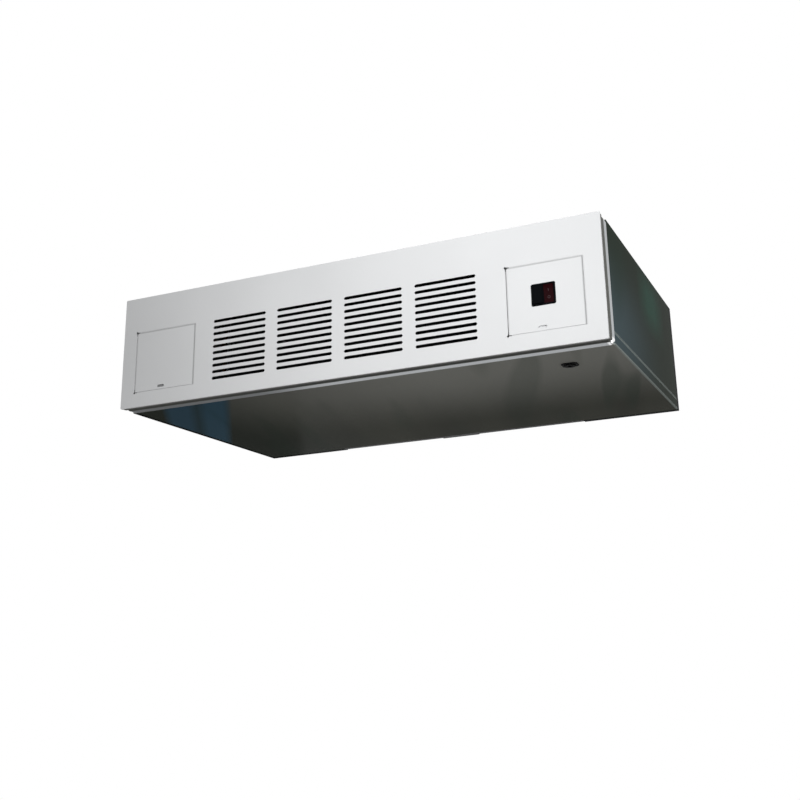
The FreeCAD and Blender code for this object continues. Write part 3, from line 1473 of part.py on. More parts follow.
strip = new_body("terminal_strip")
strip_low = box_low + dim.strip_rise
strip_high = strip_low + dim.strip_height
strip_start = box_front + dim.strip_inset
strip_face = box_x + dim.box_skin + dim.strip_depth
pad(strip, "YZ", box_x + dim.box_skin, strip_face,
    rectangle(strip_start, strip_low, strip_start + dim.strip_pitch * TERMINALS, strip_high))
first_cell = pocket(strip, "YZ", strip_face - dim.cell_depth, strip_face,
                    rectangle(strip_start + dim.box_skin / 2, strip_low + dim.box_skin * 2,
                              strip_start + dim.strip_pitch - dim.box_skin / 2,
                              strip_high - dim.box_skin * 2))
repeat(strip, first_cell, "H_Axis", dim.strip_pitch, TERMINALS)

# Motor run capacitor beside the terminal box, held by a strap clip
capacitor_y = derived("capacitor_y", box_front + dim.box_length + dim.capacitor_gap)
capacitor_x = derived("capacitor_x", box_x + dim.capacitor_radius + dim.strap_skin)
capacitor_z = derived("capacitor_z", box_low + dim.box_height / 2)
keep("run_capacitor", rod("run_capacitor", "Y", (capacitor_x, capacitor_y, capacitor_z),
                          dim.capacitor_radius, dim.capacitor_length))
clip = new_body("capacitor_clip")
clip_front = capacitor_y + dim.strap_position
clip_rear = clip_front + dim.strap_width
clip_out = dim.capacitor_radius + dim.strap_skin
clip_foot = clip_out + dim.flange_width / 2
pad(clip, "XZ", clip_front, clip_rear,
    rectangle(box_x, capacitor_z - clip_foot, box_x + dim.strap_skin, capacitor_z + clip_foot))
pad(clip, "XZ", clip_front, clip_rear, circle(capacitor_x, capacitor_z, clip_out))
pocket(clip, "XZ", clip_front, clip_rear, circle(capacitor_x, capacitor_z, dim.capacitor_radius))

# Cable gland: a flanged bush in the underside, below the switch, with a hexagon nut inside
gland = new_body("cable_gland")
gland_low = bottom_face - dim.gland_drop
pad(gland, "XY", bottom_face - dim.gland_drop / 2, bottom_face,
    chamfered(gland_x - dim.gland_width / 2, gland_y - dim.gland_depth / 2,
              gland_x + dim.gland_width / 2, gland_y + dim.gland_depth / 2, dim.gland_bore))
pad(gland, "XY", gland_low, bottom_face - dim.gland_drop / 2,
    polygon(gland_x, gland_y, gland_neck + dim.gland_wall, HOLE_SIDES))
pad(gland, "XY", bottom_face, floor_level + dim.flange_width / 2,
    polygon(gland_x, gland_y, gland_neck, HOLE_SIDES))
pad(gland, "XY", floor_level, floor_level + dim.gland_wall,
    polygon(gland_x, gland_y, gland_neck + dim.gland_wall, HEX_SIDES))
pocket(gland, "XY", gland_low, floor_level + dim.flange_width / 2,
       circle(gland_x, gland_y, dim.gland_bore))


def screw_heads(name, axis, places):
    """Hexagon heads of the casing screws, standing on a face."""
    heads = []
    for spot in places:
        heads.append(bar(f"{name}_{len(heads) + 1}", axis, spot, dim.screw_radius,
                         dim.screw_rise, HEX_SIDES))
    keep(name, group(name, heads))


screw_outer = right_face - dim.flange_width / 2
screw_inner = bulkhead_x - dim.flange_width / 2
screw_x = [-screw_outer, -screw_inner, screw_inner, screw_outer]
screw_heads("rear_screws", "Y", [(x, rear_wall, z) for x in screw_x for z in
                                 (floor_level + dim.flange_width / 2, -dim.flange_width / 2)])
screw_heads("top_screws", "Z", [(x, y, top_face) for x in screw_x for y in
                                (body_front + dim.flange_width / 2,
                                 rear_wall - dim.flange_width / 2)])

doc.recompute()


def check_document():
    """Stops if any object failed or any sub-part has no valid solid."""
    for item in doc.Objects:
        if "Invalid" in item.State or "Error" in item.State:
            raise RuntimeError(f"{item.Label} failed: {item.State}")
    for item in node_objects:
        if item.Shape.isNull() or not item.Shape.isValid() or not item.Shape.Solids:
            raise RuntimeError(f"{item.Label} has no valid solid")


check_document()
for item in node_objects:
    item.Shape.exportStep(f"parts/{item.Label}.step")
    print(item.Label, len(item.Shape.Solids), round(item.Shape.Volume))
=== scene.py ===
# %% [markdown]
# A fan coil unit heats and cools a room. This one hangs in the open under a ceiling: a white
# louvred front, a bright frame behind it and a glossy dark casing. The sheet-metal parts come
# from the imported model, which is loaded first and never moved. The rest of this file gives them
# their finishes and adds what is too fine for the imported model.

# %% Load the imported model
import json
import math

import bpy
import numpy as np
from mathutils import Matrix, Vector


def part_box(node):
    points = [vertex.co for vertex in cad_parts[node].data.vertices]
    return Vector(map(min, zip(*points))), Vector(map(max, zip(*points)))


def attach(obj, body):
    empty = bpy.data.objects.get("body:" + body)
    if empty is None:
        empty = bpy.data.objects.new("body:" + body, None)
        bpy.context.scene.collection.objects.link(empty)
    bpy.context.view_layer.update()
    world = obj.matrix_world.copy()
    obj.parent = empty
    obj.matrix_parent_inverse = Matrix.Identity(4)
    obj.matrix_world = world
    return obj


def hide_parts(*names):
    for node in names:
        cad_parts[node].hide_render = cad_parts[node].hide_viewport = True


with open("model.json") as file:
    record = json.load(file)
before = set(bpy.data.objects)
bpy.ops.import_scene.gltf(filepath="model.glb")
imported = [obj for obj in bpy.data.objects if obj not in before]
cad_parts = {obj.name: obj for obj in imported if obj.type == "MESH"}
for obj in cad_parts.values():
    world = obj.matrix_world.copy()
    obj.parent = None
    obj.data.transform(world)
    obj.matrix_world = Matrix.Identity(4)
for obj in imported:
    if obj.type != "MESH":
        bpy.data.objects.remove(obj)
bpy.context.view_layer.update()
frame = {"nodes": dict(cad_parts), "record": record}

MM = 0.001
nodes = frame["nodes"]

# %% [markdown]
# Colours are written as the sRGB hex values that a paint chart gives. Blender works in linear
# light, so one function turns them over. A pattern's scale in Blender is a number of cells in a
# metre, so another function works it out from the real size of one cell in millimetres.
#
# A finish is a net of small shader nodes, and one function adds them all. It fills a node's
# inputs in the order in which Blender shows them:
#
# - a Noise Texture takes a place, a number of cells in a metre and a level of detail;
# - a Math node takes one or two numbers, and two factors multiplied are high only where both are;
# - a Map Range takes a value, the two ends that it comes from and the two that it goes to;
# - a Mix node takes a factor and two colours.
#
# Noise keeps near its middle, so most patterns use only the stretch of it in NOISE_RANGE.


# %% Colour and pattern helpers
NOISE_RANGE = (0.3, 0.7)


def linear(colour):
    """Linear RGBA of an sRGB hex colour: below 0.04045 a twelfth or so, above it a power of 2.4."""
    channels = np.array([int(colour[i:i + 2], 16) for i in (1, 3, 5)]) / 255
    low = channels / 12.92
    high = ((channels + 0.055) / 1.055) ** 2.4
    return (*np.where(channels <= 0.04045, low, high), 1.0)


def cells(size_mm):
    """Cells in a metre when one cell is size_mm across."""
    return 1 / (size_mm * MM)


def fill(socket, value):
    """Fills a node's input with a hex colour, a plain value or a link.

    A node given as the value is linked by the first output that it uses.
    """
    if isinstance(value, bpy.types.Node):
        value = next(output for output in value.outputs if output.enabled)
    if isinstance(value, bpy.types.NodeSocket):
        socket.id_data.links.new(value, socket)
    else:
        socket.default_value = linear(value) if isinstance(value, str) else value


def add(tree, kind, *values, **settings):
    """Adds a shader node with its settings, and fills the inputs that it uses in their order."""
    node = tree.nodes.new("ShaderNode" + kind)
    for name, setting in settings.items():
        setattr(node, name, setting)
    used = [socket for socket in node.inputs if socket.enabled]
    for socket, value in zip(used, values):
        fill(socket, value)
    return node


def finish_of(name, **constants):
    """A new material: its node tree and its Principled shader with the constant values set."""
    material = bpy.data.materials.new(name)
    material.use_nodes = True
    tree = material.node_tree
    shader = tree.nodes["Principled BSDF"]
    for key, value in constants.items():
        shader.inputs[key.replace("_", " ")].default_value = value
    return material, tree, shader


def lay_on(shader, colour, roughness=None, relief=None, depth_mm=0.0):
    """Gives a shader its colour, its roughness, and a relief that rises by so many millimetres."""
    fill(shader.inputs["Base Color"], colour)
    if roughness is not None:
        fill(shader.inputs["Roughness"], roughness)
    if relief is not None:
        raised = add(shader.id_data, "Bump")
        fill(raised.inputs["Height"], relief)
        fill(raised.inputs["Distance"], depth_mm * MM)
        fill(shader.inputs["Normal"], raised)


def place_of(tree, shares=(1, 1, 1), turn=0):
    """Object coordinates in metres, turned about Z by so many degrees, then times a share on each axis.

    A share below 1 draws a pattern out along that axis.
    """
    coordinates = add(tree, "TexCoord").outputs["Object"]
    lengths = [1 / share for share in shares]
    return add(tree, "Mapping", coordinates, (0, 0, 0), (0, 0, math.radians(turn)), lengths,
               vector_type="TEXTURE")


def axes_of(tree):
    """The three object coordinates, each on its own: across, depth and height."""
    split = add(tree, "SeparateXYZ", place_of(tree))
    return tuple(split.outputs[name] for name in "XYZ")


def near(tree, value, level, reach, blur):
    """1 where a coordinate lies within reach of a level, falling to 0 over the blur; in metres."""
    offset = add(tree, "Math", value, level, operation="SUBTRACT")
    distance = add(tree, "Math", offset, operation="ABSOLUTE")
    return add(tree, "MapRange", distance, reach, reach + blur, 1.0, 0.0)


def fade(tree, value, start, end):
    """1 up to the start, 0 from the end on, and a smooth S between."""
    return add(tree, "MapRange", value, start, end, 1.0, 0.0, interpolation_type="SMOOTHSTEP")


def all_of(tree, first, *others):
    """A factor that is high only where all of them are: their product."""
    for other in others:
        first = add(tree, "Math", first, other, operation="MULTIPLY")
    return first


print("helpers ready")

# %% [markdown]
# The camera stands where the photographer stood: about 1.9 m in front of the unit's right end and
# 0.6 m below it, looking up and to the left. Its place, aim and focal length come from a fit of
# the casing's seven visible corners. The focal length is given in pixels of an 800 pixel frame,
# so the lens in millimetres is that number times the sensor's width over the frame's width. The
# photograph was cropped a little off the lens's axis, which is what the camera's shift is for.

# %% Camera
FRAME_PIXELS = 800
SENSOR_MM = 36.0
FOCAL_PIXELS = 1086.0
AXIS_PIXEL = (442.6, 346.6)
CAMERA_PLACE = Vector((0.9892, -2.1583, -0.833))
CAMERA_FORWARD = Vector((-0.3685, 0.8817, 0.2945))
CAMERA_UP = Vector((0.1397, -0.2607, 0.9553))

camera_data = bpy.data.cameras.new("camera")
camera_data.sensor_width = SENSOR_MM
camera_data.lens = FOCAL_PIXELS * SENSOR_MM / FRAME_PIXELS
camera_data.shift_x = 0.5 - AXIS_PIXEL[0] / FRAME_PIXELS
camera_data.shift_y = AXIS_PIXEL[1] / FRAME_PIXELS - 0.5
camera_data.clip_start = 0.05
camera_data.clip_end = 60
camera = bpy.data.objects.new("camera", camera_data)
bpy.context.scene.collection.objects.link(camera)
back = -CAMERA_FORWARD.normalized()
right = CAMERA_UP.cross(back).normalized()
up = back.cross(right)
turned = Matrix((right, up, back)).transposed().to_4x4()
camera.matrix_world = Matrix.Translation(CAMERA_PLACE) @ turned
bpy.context.scene.camera = camera
print("lens, mm:", round(camera_data.lens, 2))

# %% [markdown]
# The front panel and both doors are steel sheet with a satin baked enamel. Sprayed enamel dries
# with a faint orange peel, a ripple of a few millimetres, and its tone drifts a little over the
# sheet. The gloss is a thin clear layer over the pigment, so a coat is the honest way to make it.
# Beside the doors' edges the enamel carries painted shade of the gaps, and painted shade also
# darkens the little relief holes at the hinge side's corners.


# %% Baked enamel
HOLE_RIM = 2.0 * MM
EDGE_SHADE_REACH = 1.2 * MM
EDGE_SHADE_BLUR = 1.6 * MM
# Shares of painted shade along a door's left, right and top edges, and round its two relief holes.
LEFT_EDGE_SHADE, RIGHT_EDGE_SHADE, TOP_EDGE_SHADE = 0.35, 0.6, 0.4
TOP_HOLE_SHADE, BOTTOM_HOLE_SHADE = 1.0, 0.3


def door_edge_shade(tree, place, door):
    """Painted shade beside a door: three lines along its edges and a spot at two corners."""
    low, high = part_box(door)
    across, _, height = axes_of(tree)
    wide = near(tree, across, (low[0] + high[0]) / 2, (high[0] - low[0]) / 2, MM)
    tall = near(tree, height, (low[2] + high[2]) / 2, (high[2] - low[2]) / 2, MM)
    edges = ((LEFT_EDGE_SHADE, across, low[0], tall), (RIGHT_EDGE_SHADE, across, high[0], tall),
             (TOP_EDGE_SHADE, height, high[2], wide))
    edge_shade = 0.0
    for share, value, level, span in edges:
        shaded_line = all_of(tree, near(tree, value, level, EDGE_SHADE_REACH, EDGE_SHADE_BLUR), span, share)
        edge_shade = add(tree, "Math", shaded_line, edge_shade, operation="MAXIMUM")
    for share, level in ((TOP_HOLE_SHADE, high[2]), (BOTTOM_HOLE_SHADE, low[2])):
        apart = add(tree, "VectorMath", place, (low[0], low[1], level), operation="DISTANCE")
        spot = all_of(tree, add(tree, "MapRange", apart, HOLE_RIM, 2 * HOLE_RIM, 1.0, 0.0), share)
        edge_shade = add(tree, "Math", spot, edge_shade, operation="MAXIMUM")
    return edge_shade


def baked_enamel():
    """Satin white-silver enamel: orange peel of 2 mm, a slow drift of tone and painted shade by the
    doors.
    """
    material, tree, shader = finish_of("baked_enamel", IOR=1.4, Coat_Weight=0.15, Coat_Roughness=0.18)
    place = place_of(tree)
    drift = add(tree, "TexNoise", place, cells(260), 2.0)
    speck = add(tree, "TexNoise", place, cells(0.9), 2.0)
    cloud = add(tree, "TexNoise", place, cells(40), 3.0)
    peel = add(tree, "TexNoise", place, cells(2.0), 1.0)
    drift = add(tree, "MapRange", drift, *NOISE_RANGE, 0.0, 1.0)
    speck = add(tree, "MapRange", speck, *NOISE_RANGE, 0.0, 0.25)
    colour = add(tree, "Mix", drift, "#D9DADB", "#DFE0E1", data_type="RGBA")
    colour = add(tree, "Mix", speck, colour, "#CFD1D2", data_type="RGBA")
    # Painted shade: greyer beside each door's edges and round its relief holes.
    for door in ("left_door", "right_door"):
        colour = add(tree, "Mix", door_edge_shade(tree, place, door), colour, "#7E7F80", data_type="RGBA")
    lay_on(shader, colour, add(tree, "MapRange", cloud, *NOISE_RANGE, 0.34, 0.42), peel, 0.02)
    return material


front_enamel = baked_enamel()
print("relief holes' rims, mm:", HOLE_RIM / MM)

# %% [markdown]
# The shadow line behind the front is a neck, sprayed matt dark grey. Such paint scatters light
# evenly, so it needs no coat, only a fine dry grain.


# %% Neck paint
def matt_grey_paint():
    """Sprayed matt dark grey with a fine grain: it shows no highlight."""
    material, tree, shader = finish_of("matt_grey_paint", IOR=1.45, Roughness=0.8)
    speck = add(tree, "TexNoise", place_of(tree), cells(1.2), 3.0)
    colour = add(tree, "Mix", speck, "#62635F", "#72736E", data_type="RGBA")
    lay_on(shader, colour, relief=speck, depth_mm=0.03)
    return material


neck_paint = matt_grey_paint()
print("neck paint:", len(neck_paint.node_tree.nodes), "nodes")

# %% [markdown]
# The casing wears a dark glossy enamel with an olive cast, whose tone drifts a little. Long sheets
# never reflect evenly: the rolled steel is slightly wavy. Over the enamel, the blue and green are
# painted reflections, and the lighter front, right end and low sides are painted light. The drift is
# quick from left to right and slow from front to rear, so the noise is drawn out that way, a little
# aslant.
#
# The zones are in metres on the unit: X runs to the right, Y to the rear, and Z up from the
# casing's top. A zone is written as where it starts and ends, or as a middle, a reach to either
# side and a blur.
#
# A white surround shows in a glossy sheet much more than a dim room does. So the film's IOR is
# matched to the photograph, and is far below the 1.5 of a real enamel.


# %% Tints, painted light and painted reflections of the casing's enamel
BAND_TURN = 33
BLUE_REFLECTION_BANDS = ((-0.465, 0.055, "#34474E"), (-0.504, 0.018, "#3C5666"), (-0.428, 0.017, "#3C5868"))
BAND_BLUR = 0.02
# Where the painted light lies, and where the painted shade of the left end fades, in metres.
PAINTED_LIGHT_ACROSS = (-0.48, 0.15)
PAINTED_LIGHT_REAR = 0.2
PAINTED_LIGHT_HEIGHT = (-0.2, -0.01)
LEFT_SHADE = (-0.45, -0.1)
GREEN_ACROSS = (0.2, 0.5)
DRIFT_RANGE = (0.35, 0.65)
# Ranges of the painted green reflections: the streaks, then one patch on the right side.
REFLECTION_STREAK_RANGE = (0.6, 0.74)
GREEN_REFLECTION_DEPTH = (0.09, 0.03, 0.1)
GREEN_REFLECTION_HEIGHT = (-0.06, 0.02, 0.06)
GREEN_REFLECTION_SHARE = 0.85


def olive_with_painted_light(tree, along, across, depth, height, underside):
    """Dark olive with painted light to the right, front and low sides, and painted shade at the left end
    and on the right side.
    """
    low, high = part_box("bottom_panel")
    # Painted light: lighter towards the right, towards the front and low on the sides.
    lighter_rightwards = add(tree, "MapRange", across, *PAINTED_LIGHT_ACROSS, 0.0, 1.0)
    painted_light = all_of(tree, lighter_rightwards, fade(tree, height, *PAINTED_LIGHT_HEIGHT),
                     fade(tree, depth, low[1], PAINTED_LIGHT_REAR))
    drift = add(tree, "MapRange", add(tree, "TexNoise", along, cells(110), 1.0), *DRIFT_RANGE, 0.0, 1.0)
    deep = add(tree, "Mix", drift, "#3A3B33", "#45463D", data_type="RGBA")
    # Painted shade: darker towards the left end.
    deep = add(tree, "Mix", fade(tree, across, *LEFT_SHADE), deep, "#363A34", data_type="RGBA")
    far_right = add(tree, "MapRange", across, high[0] - 2 * MM, high[0] - 1 * MM, 0.0, 1.0)
    upright = fade(tree, underside, 0.0, 1.0)
    # Painted shade: green black over the right side.
    deep = add(tree, "Mix", all_of(tree, far_right, upright), deep, "#222E21", data_type="RGBA")
    # The pale tones of the painted light: blue grey on the sides, grey underneath.
    pale = add(tree, "Mix", underside, "#495A5F", "#90908A", data_type="RGBA")
    return add(tree, "Mix", painted_light, deep, pale, data_type="RGBA")


def painted_blue_reflections(tree, colour, underside):
    """Painted reflections: bands of blue under the left end, aslant by BAND_TURN degrees."""
    slanted = add(tree, "SeparateXYZ", place_of(tree, turn=BAND_TURN)).outputs["X"]
    for middle, half_width, tint in BLUE_REFLECTION_BANDS:
        band = all_of(tree, near(tree, slanted, middle, half_width, BAND_BLUR), underside)
        # Each band is a painted blue reflection.
        colour = add(tree, "Mix", band, colour, tint, data_type="RGBA")
    return colour


def painted_green_reflections(tree, colour, along, across, depth, height):
    """Painted reflections: dark green streaks and one green patch, both strongest at the right end."""
    right_end = add(tree, "MapRange", across, *GREEN_ACROSS, 0.4, 1.0)
    reflection_streaks = add(tree, "TexNoise", along, cells(45), 0.0)
    reflection_streaks = add(tree, "MapRange", reflection_streaks, *REFLECTION_STREAK_RANGE, 0.0, 0.35)
    # Painted reflections: dark green streaks towards the right end.
    colour = add(tree, "Mix", all_of(tree, reflection_streaks, right_end), colour, "#22382B", data_type="RGBA")
    # The bloom here is a painted green reflection on the right side.
    bloom = all_of(tree, near(tree, depth, *GREEN_REFLECTION_DEPTH), near(tree, height, *GREEN_REFLECTION_HEIGHT),
                   right_end, GREEN_REFLECTION_SHARE)
    return add(tree, "Mix", bloom, colour, "#2A5646", data_type="RGBA")


print("blue bands under the left end:", len(BLUE_REFLECTION_BANDS))

# %% [markdown]
# The long bend at the foot of the sides and the seam above it carry painted highlights. The rear
# edge and the left one underneath carry painted shade, near black.


# %% Painted highlights and shade of the casing's enamel
# Reaches of the painted highlights and of the painted shade along the rims.
BEND_REACH = 2.6 * MM
SEAM_REACH = 1.8 * MM
SIDE_REACH = 2.4 * MM
SIDE_BLUR = 1.2 * MM
HIGHLIGHT_BLUR = 1.6 * MM
HIGHLIGHT_SHARE = 0.6
REAR_BAND = 16 * MM
LEFT_BAND = 9 * MM
RIM_BLUR = 4 * MM


def bend_and_seam_highlights(tree, across, height):
    """Painted highlights: on the long bend and at the seam above it."""
    low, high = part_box("bottom_panel")
    bend = near(tree, height, low[2], BEND_REACH, HIGHLIGHT_BLUR)
    seam = near(tree, height, high[2], SEAM_REACH, HIGHLIGHT_BLUR)
    either = add(tree, "Math", bend, seam, operation="MAXIMUM")
    outwards = add(tree, "Math", across, operation="ABSOLUTE")
    return all_of(tree, near(tree, outwards, high[0], SIDE_REACH, SIDE_BLUR), HIGHLIGHT_SHARE, either)


def painted_rim_shade(tree, across, depth, underside):
    """Painted shade: along the rear edge, and under the left one."""
    low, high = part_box("bottom_panel")
    left = all_of(tree, near(tree, across, low[0], LEFT_BAND, RIM_BLUR), underside)
    return add(tree, "Math", near(tree, depth, high[1], REAR_BAND, RIM_BLUR), left, operation="MAXIMUM")


print("black band along the rear edge, mm:", round(REAR_BAND / MM, 1))

# %% [markdown]
# The tints and their painted light come first, and the painted highlights and shade over them. The
# surface is a slow wave of the rolled sheet, a tenth of a millimetre high, which is enough to bend a
# reflection.


# %% Casing enamel
UNDERSIDE_START, UNDERSIDE_END = 1 * MM, 3 * MM
DRIFT_TURN = 15
DRIFT_SHARES = (1, 0.12, 0.1)


def dark_enamel():
    """Glossy olive-grey enamel over rolled sheet.

    It has painted light along the front edge, towards the right and low on the sides. Away from there
    it has painted shade in dark olive, with painted blue and green reflections in it.
    """
    material, tree, shader = finish_of("dark_enamel", IOR=1.02)
    along = place_of(tree, DRIFT_SHARES, DRIFT_TURN)
    across, depth, height = axes_of(tree)
    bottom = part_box("bottom_panel")[0][2]
    underside = fade(tree, height, bottom + UNDERSIDE_START, bottom + UNDERSIDE_END)
    # The olive with its painted light and shade first, then the painted reflections.
    colour = olive_with_painted_light(tree, along, across, depth, height, underside)
    colour = painted_blue_reflections(tree, colour, underside)
    colour = painted_green_reflections(tree, colour, along, across, depth, height)
    # Painted highlights along the long bend and the seam above it.
    colour = add(tree, "Mix", bend_and_seam_highlights(tree, across, height), colour, "#A3ADA9", data_type="RGBA")
    # The rim is painted shade, near black, along the rear edge and under the left one.
    rim = painted_rim_shade(tree, across, depth, underside)
    colour = add(tree, "Mix", rim, colour, "#050606", data_type="RGBA")
    haze = add(tree, "MapRange", add(tree, "TexNoise", along, cells(60), 3.0), *NOISE_RANGE, 0.12, 0.2)
    lay_on(shader, colour, haze, add(tree, "TexNoise", along, cells(120), 0.0), 0.12)
    return material


casing_enamel = dark_enamel()
print("casing enamel:", len(casing_enamel.node_tree.nodes), "nodes")

# %% [markdown]
# The frame round the casing's front edge is bright rolled aluminium. Rolling leaves fine lines,
# about 0.3 mm apart, which draw highlights out sideways. They are drawn a little coarser here, so
# that they show at all.


# %% Aluminium
SHADE_PAINT_DEPTH = 3.2 * MM
SHADE_PAINT_BLUR = 0.6 * MM
CORNER_HIGHLIGHT_REACH = 9.0 * MM
CORNER_HIGHLIGHT_BLUR = 3.0 * MM
ROLLED = (0.05, 1, 1)


def mill_aluminium():
    """Aluminium sheet as it leaves the mill: pale, with a fine rolled grain."""
    material, tree, shader = finish_of("mill_aluminium", Metallic=1.0)
    grain = add(tree, "TexNoise", place_of(tree, ROLLED), cells(0.8), 2.0)
    colour = add(tree, "Mix", grain, "#B9BDC0", "#D3D6D8", data_type="RGBA")
    lay_on(shader, colour, add(tree, "MapRange", grain, *NOISE_RANGE, 0.31, 0.43), grain, 0.01)
    return material


def frame_with_painted_shade():
    """Rolled aluminium whose front flange, in the shadow line, has painted shade in the neck's grey.

    The painted shade ends a few millimetres behind the flange's front. The two lower corners carry a
    painted highlight in near white.
    """
    material, tree, shader = finish_of("rolled_frame")
    grain = add(tree, "TexNoise", place_of(tree, ROLLED), cells(0.6), 2.0)
    across, depth, height = axes_of(tree)
    low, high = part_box("edge_frame")
    # The flange's front is painted the neck's grey: painted shade of the shadow line.
    shade_paint_end = low[1] + SHADE_PAINT_DEPTH
    beyond_shade_paint = add(tree, "MapRange", depth, shade_paint_end, shade_paint_end + SHADE_PAINT_BLUR, 0.0, 1.0)
    outwards = add(tree, "Math", across, operation="ABSOLUTE")
    # The two lower corners are painted near white: a painted highlight.
    corner = all_of(tree, near(tree, outwards, high[0], CORNER_HIGHLIGHT_REACH, CORNER_HIGHLIGHT_BLUR),
                    near(tree, height, low[2], CORNER_HIGHLIGHT_REACH, CORNER_HIGHLIGHT_BLUR))
    metal = add(tree, "Mix", grain, "#919598", "#A8ACAF", data_type="RGBA")
    metal = add(tree, "Mix", corner, metal, "#F4F5F6", data_type="RGBA")
    colour = add(tree, "Mix", beyond_shade_paint, "#6A6B67", metal, data_type="RGBA")
    fill(shader.inputs["Metallic"], beyond_shade_paint)
    lay_on(shader, colour, add(tree, "MapRange", beyond_shade_paint, 0.0, 1.0, 0.8, 0.3), grain, 0.01)
    return material


print("the frame's paint is", round(SHADE_PAINT_DEPTH / MM, 1), "mm deep")

# %% [markdown]
# The walls and rails inside are galvanised: molten zinc sets in flat crystals, and each mirrors the
# light at its own angle. Voronoi cells have just that shape. Pins, shafts and screws are bright
# steel, drawn through a die. The fine lines that this leaves are coarser here than real ones, so
# that they show.

# %% Zinc and steel
CRYSTAL_MM = 9
DUST_RANGE = (0.45, 0.75)
DRAWN = (0.2, 1, 1)


def zinc_coated_steel():
    """Galvanised sheet: flat crystals of zinc about 9 mm across, each with its own shade."""
    material, tree, shader = finish_of("zinc_coated_steel", Metallic=1.0)
    place = place_of(tree)
    crystal = add(tree, "TexVoronoi", place, cells(CRYSTAL_MM)).outputs["Color"]
    shade = add(tree, "SeparateColor", crystal).outputs["Red"]
    dust = add(tree, "MapRange", add(tree, "TexNoise", place, cells(35), 5.0), *DUST_RANGE, 0.0, 0.35)
    colour = add(tree, "Mix", shade, "#9A9FA2", "#BCC0C2", data_type="RGBA")
    colour = add(tree, "Mix", dust, colour, "#84898B", data_type="RGBA")
    lay_on(shader, colour, add(tree, "MapRange", shade, 0.0, 1.0, 0.32, 0.46), shade, 0.01)
    return material


def bright_steel():
    """Drawn steel: hard highlights, a little streaked along the grain."""
    material, tree, shader = finish_of("bright_steel", Metallic=1.0)
    grain = add(tree, "TexNoise", place_of(tree, DRAWN), cells(0.8), 2.0)
    colour = add(tree, "Mix", grain, "#8E8F90", "#B4B5B6", data_type="RGBA")
    lay_on(shader, colour, add(tree, "MapRange", grain, *NOISE_RANGE, 0.22, 0.36))
    return material


print("zinc crystals:", CRYSTAL_MM, "mm across")

# %% [markdown]
# The coil's tubes are copper, which air turns brown in clouds, dull in one place and bright in the
# next. The unions and the air vent are brass turned on a lathe. Its tool marks run round the piece
# and are drawn coarser than real, so that they show.

# %% Copper and brass
BLOOM_MM = 22
TURNED = (0.2, 1, 0.2)


def drawn_copper():
    """Copper tube with the brown bloom that it gets in air, dullest where it is darkest."""
    material, tree, shader = finish_of("drawn_copper", Metallic=1.0)
    bloom = add(tree, "TexNoise", place_of(tree), cells(BLOOM_MM), 4.0)
    bloom = add(tree, "MapRange", bloom, *NOISE_RANGE, 0.0, 1.0)
    colour = add(tree, "Mix", bloom, "#5E3F30", "#3A271E", data_type="RGBA")
    lay_on(shader, colour, add(tree, "MapRange", bloom, 0.0, 1.0, 0.24, 0.48))
    return material


def machined_brass():
    """Turned brass with fine tool marks: a warm metal with soft highlights."""
    material, tree, shader = finish_of("machined_brass", Metallic=1.0)
    marks = add(tree, "TexNoise", place_of(tree, TURNED), cells(0.8), 2.0)
    colour = add(tree, "Mix", marks, "#B5934F", "#D8B974", data_type="RGBA")
    lay_on(shader, colour, add(tree, "MapRange", marks, *NOISE_RANGE, 0.2, 0.34), marks, 0.008)
    return material


print("clouds on the copper:", BLOOM_MM, "mm across")

# %% [markdown]
# Rubber, nylon and foam are moulded or foamed, so their surfaces are dull and slightly uneven. The
# rockers are glossier: black nylon on the left and red see-through plastic on the right. Their
# IOR is matched to the photograph as the casing's is.


# %% Plastics, rubber, foam and cloth
THREAD_MM = 1.6
FOAM_CELL_MM = 2.0


def moulded(name, light, dark, roughness, grain_mm, depth_mm, **constants):
    """A moulded part: two close shades and a fine pitted surface, which softens highlights."""
    material, tree, shader = finish_of(name, **constants)
    grain = add(tree, "TexNoise", place_of(tree), cells(grain_mm), 2.0)
    colour = add(tree, "Mix", grain, dark, light, data_type="RGBA")
    sheen = add(tree, "MapRange", grain, *NOISE_RANGE, roughness - 0.04, roughness + 0.05)
    lay_on(shader, colour, sheen, grain, depth_mm)
    return material


def closed_foam():
    """Closed-cell foam: round cells of about 2 mm that swallow the light."""
    material, tree, shader = finish_of("closed_foam", IOR=1.35, Roughness=0.95)
    cell = add(tree, "TexVoronoi", place_of(tree), cells(FOAM_CELL_MM)).outputs["Distance"]
    colour = add(tree, "Mix", cell, "#232426", "#3A3B3D", data_type="RGBA")
    lay_on(shader, colour, relief=cell, depth_mm=0.3)
    return material


def woven_filter():
    """Nylon filter cloth: threads 1.6 mm apart, drawn coarser than real so that they show."""
    material, tree, shader = finish_of("woven_filter", IOR=1.5, Roughness=0.7)
    place = place_of(tree)
    waves = [add(tree, "TexWave", place, cells(THREAD_MM) / (2 * math.pi),
                 bands_direction=direction, wave_profile="SIN").outputs["Fac"]
             for direction in ("X", "Z")]
    weave = add(tree, "Math", *waves, operation="MAXIMUM")
    colour = add(tree, "Mix", weave, "#0E0F10", "#3B3D40", data_type="RGBA")
    lay_on(shader, colour, relief=weave, depth_mm=0.4)
    return material


print("threads of the filter cloth:", THREAD_MM, "mm apart")

# %% [markdown]
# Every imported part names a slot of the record, and every slot gets one finish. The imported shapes
# stay as they are, and only their material changes.

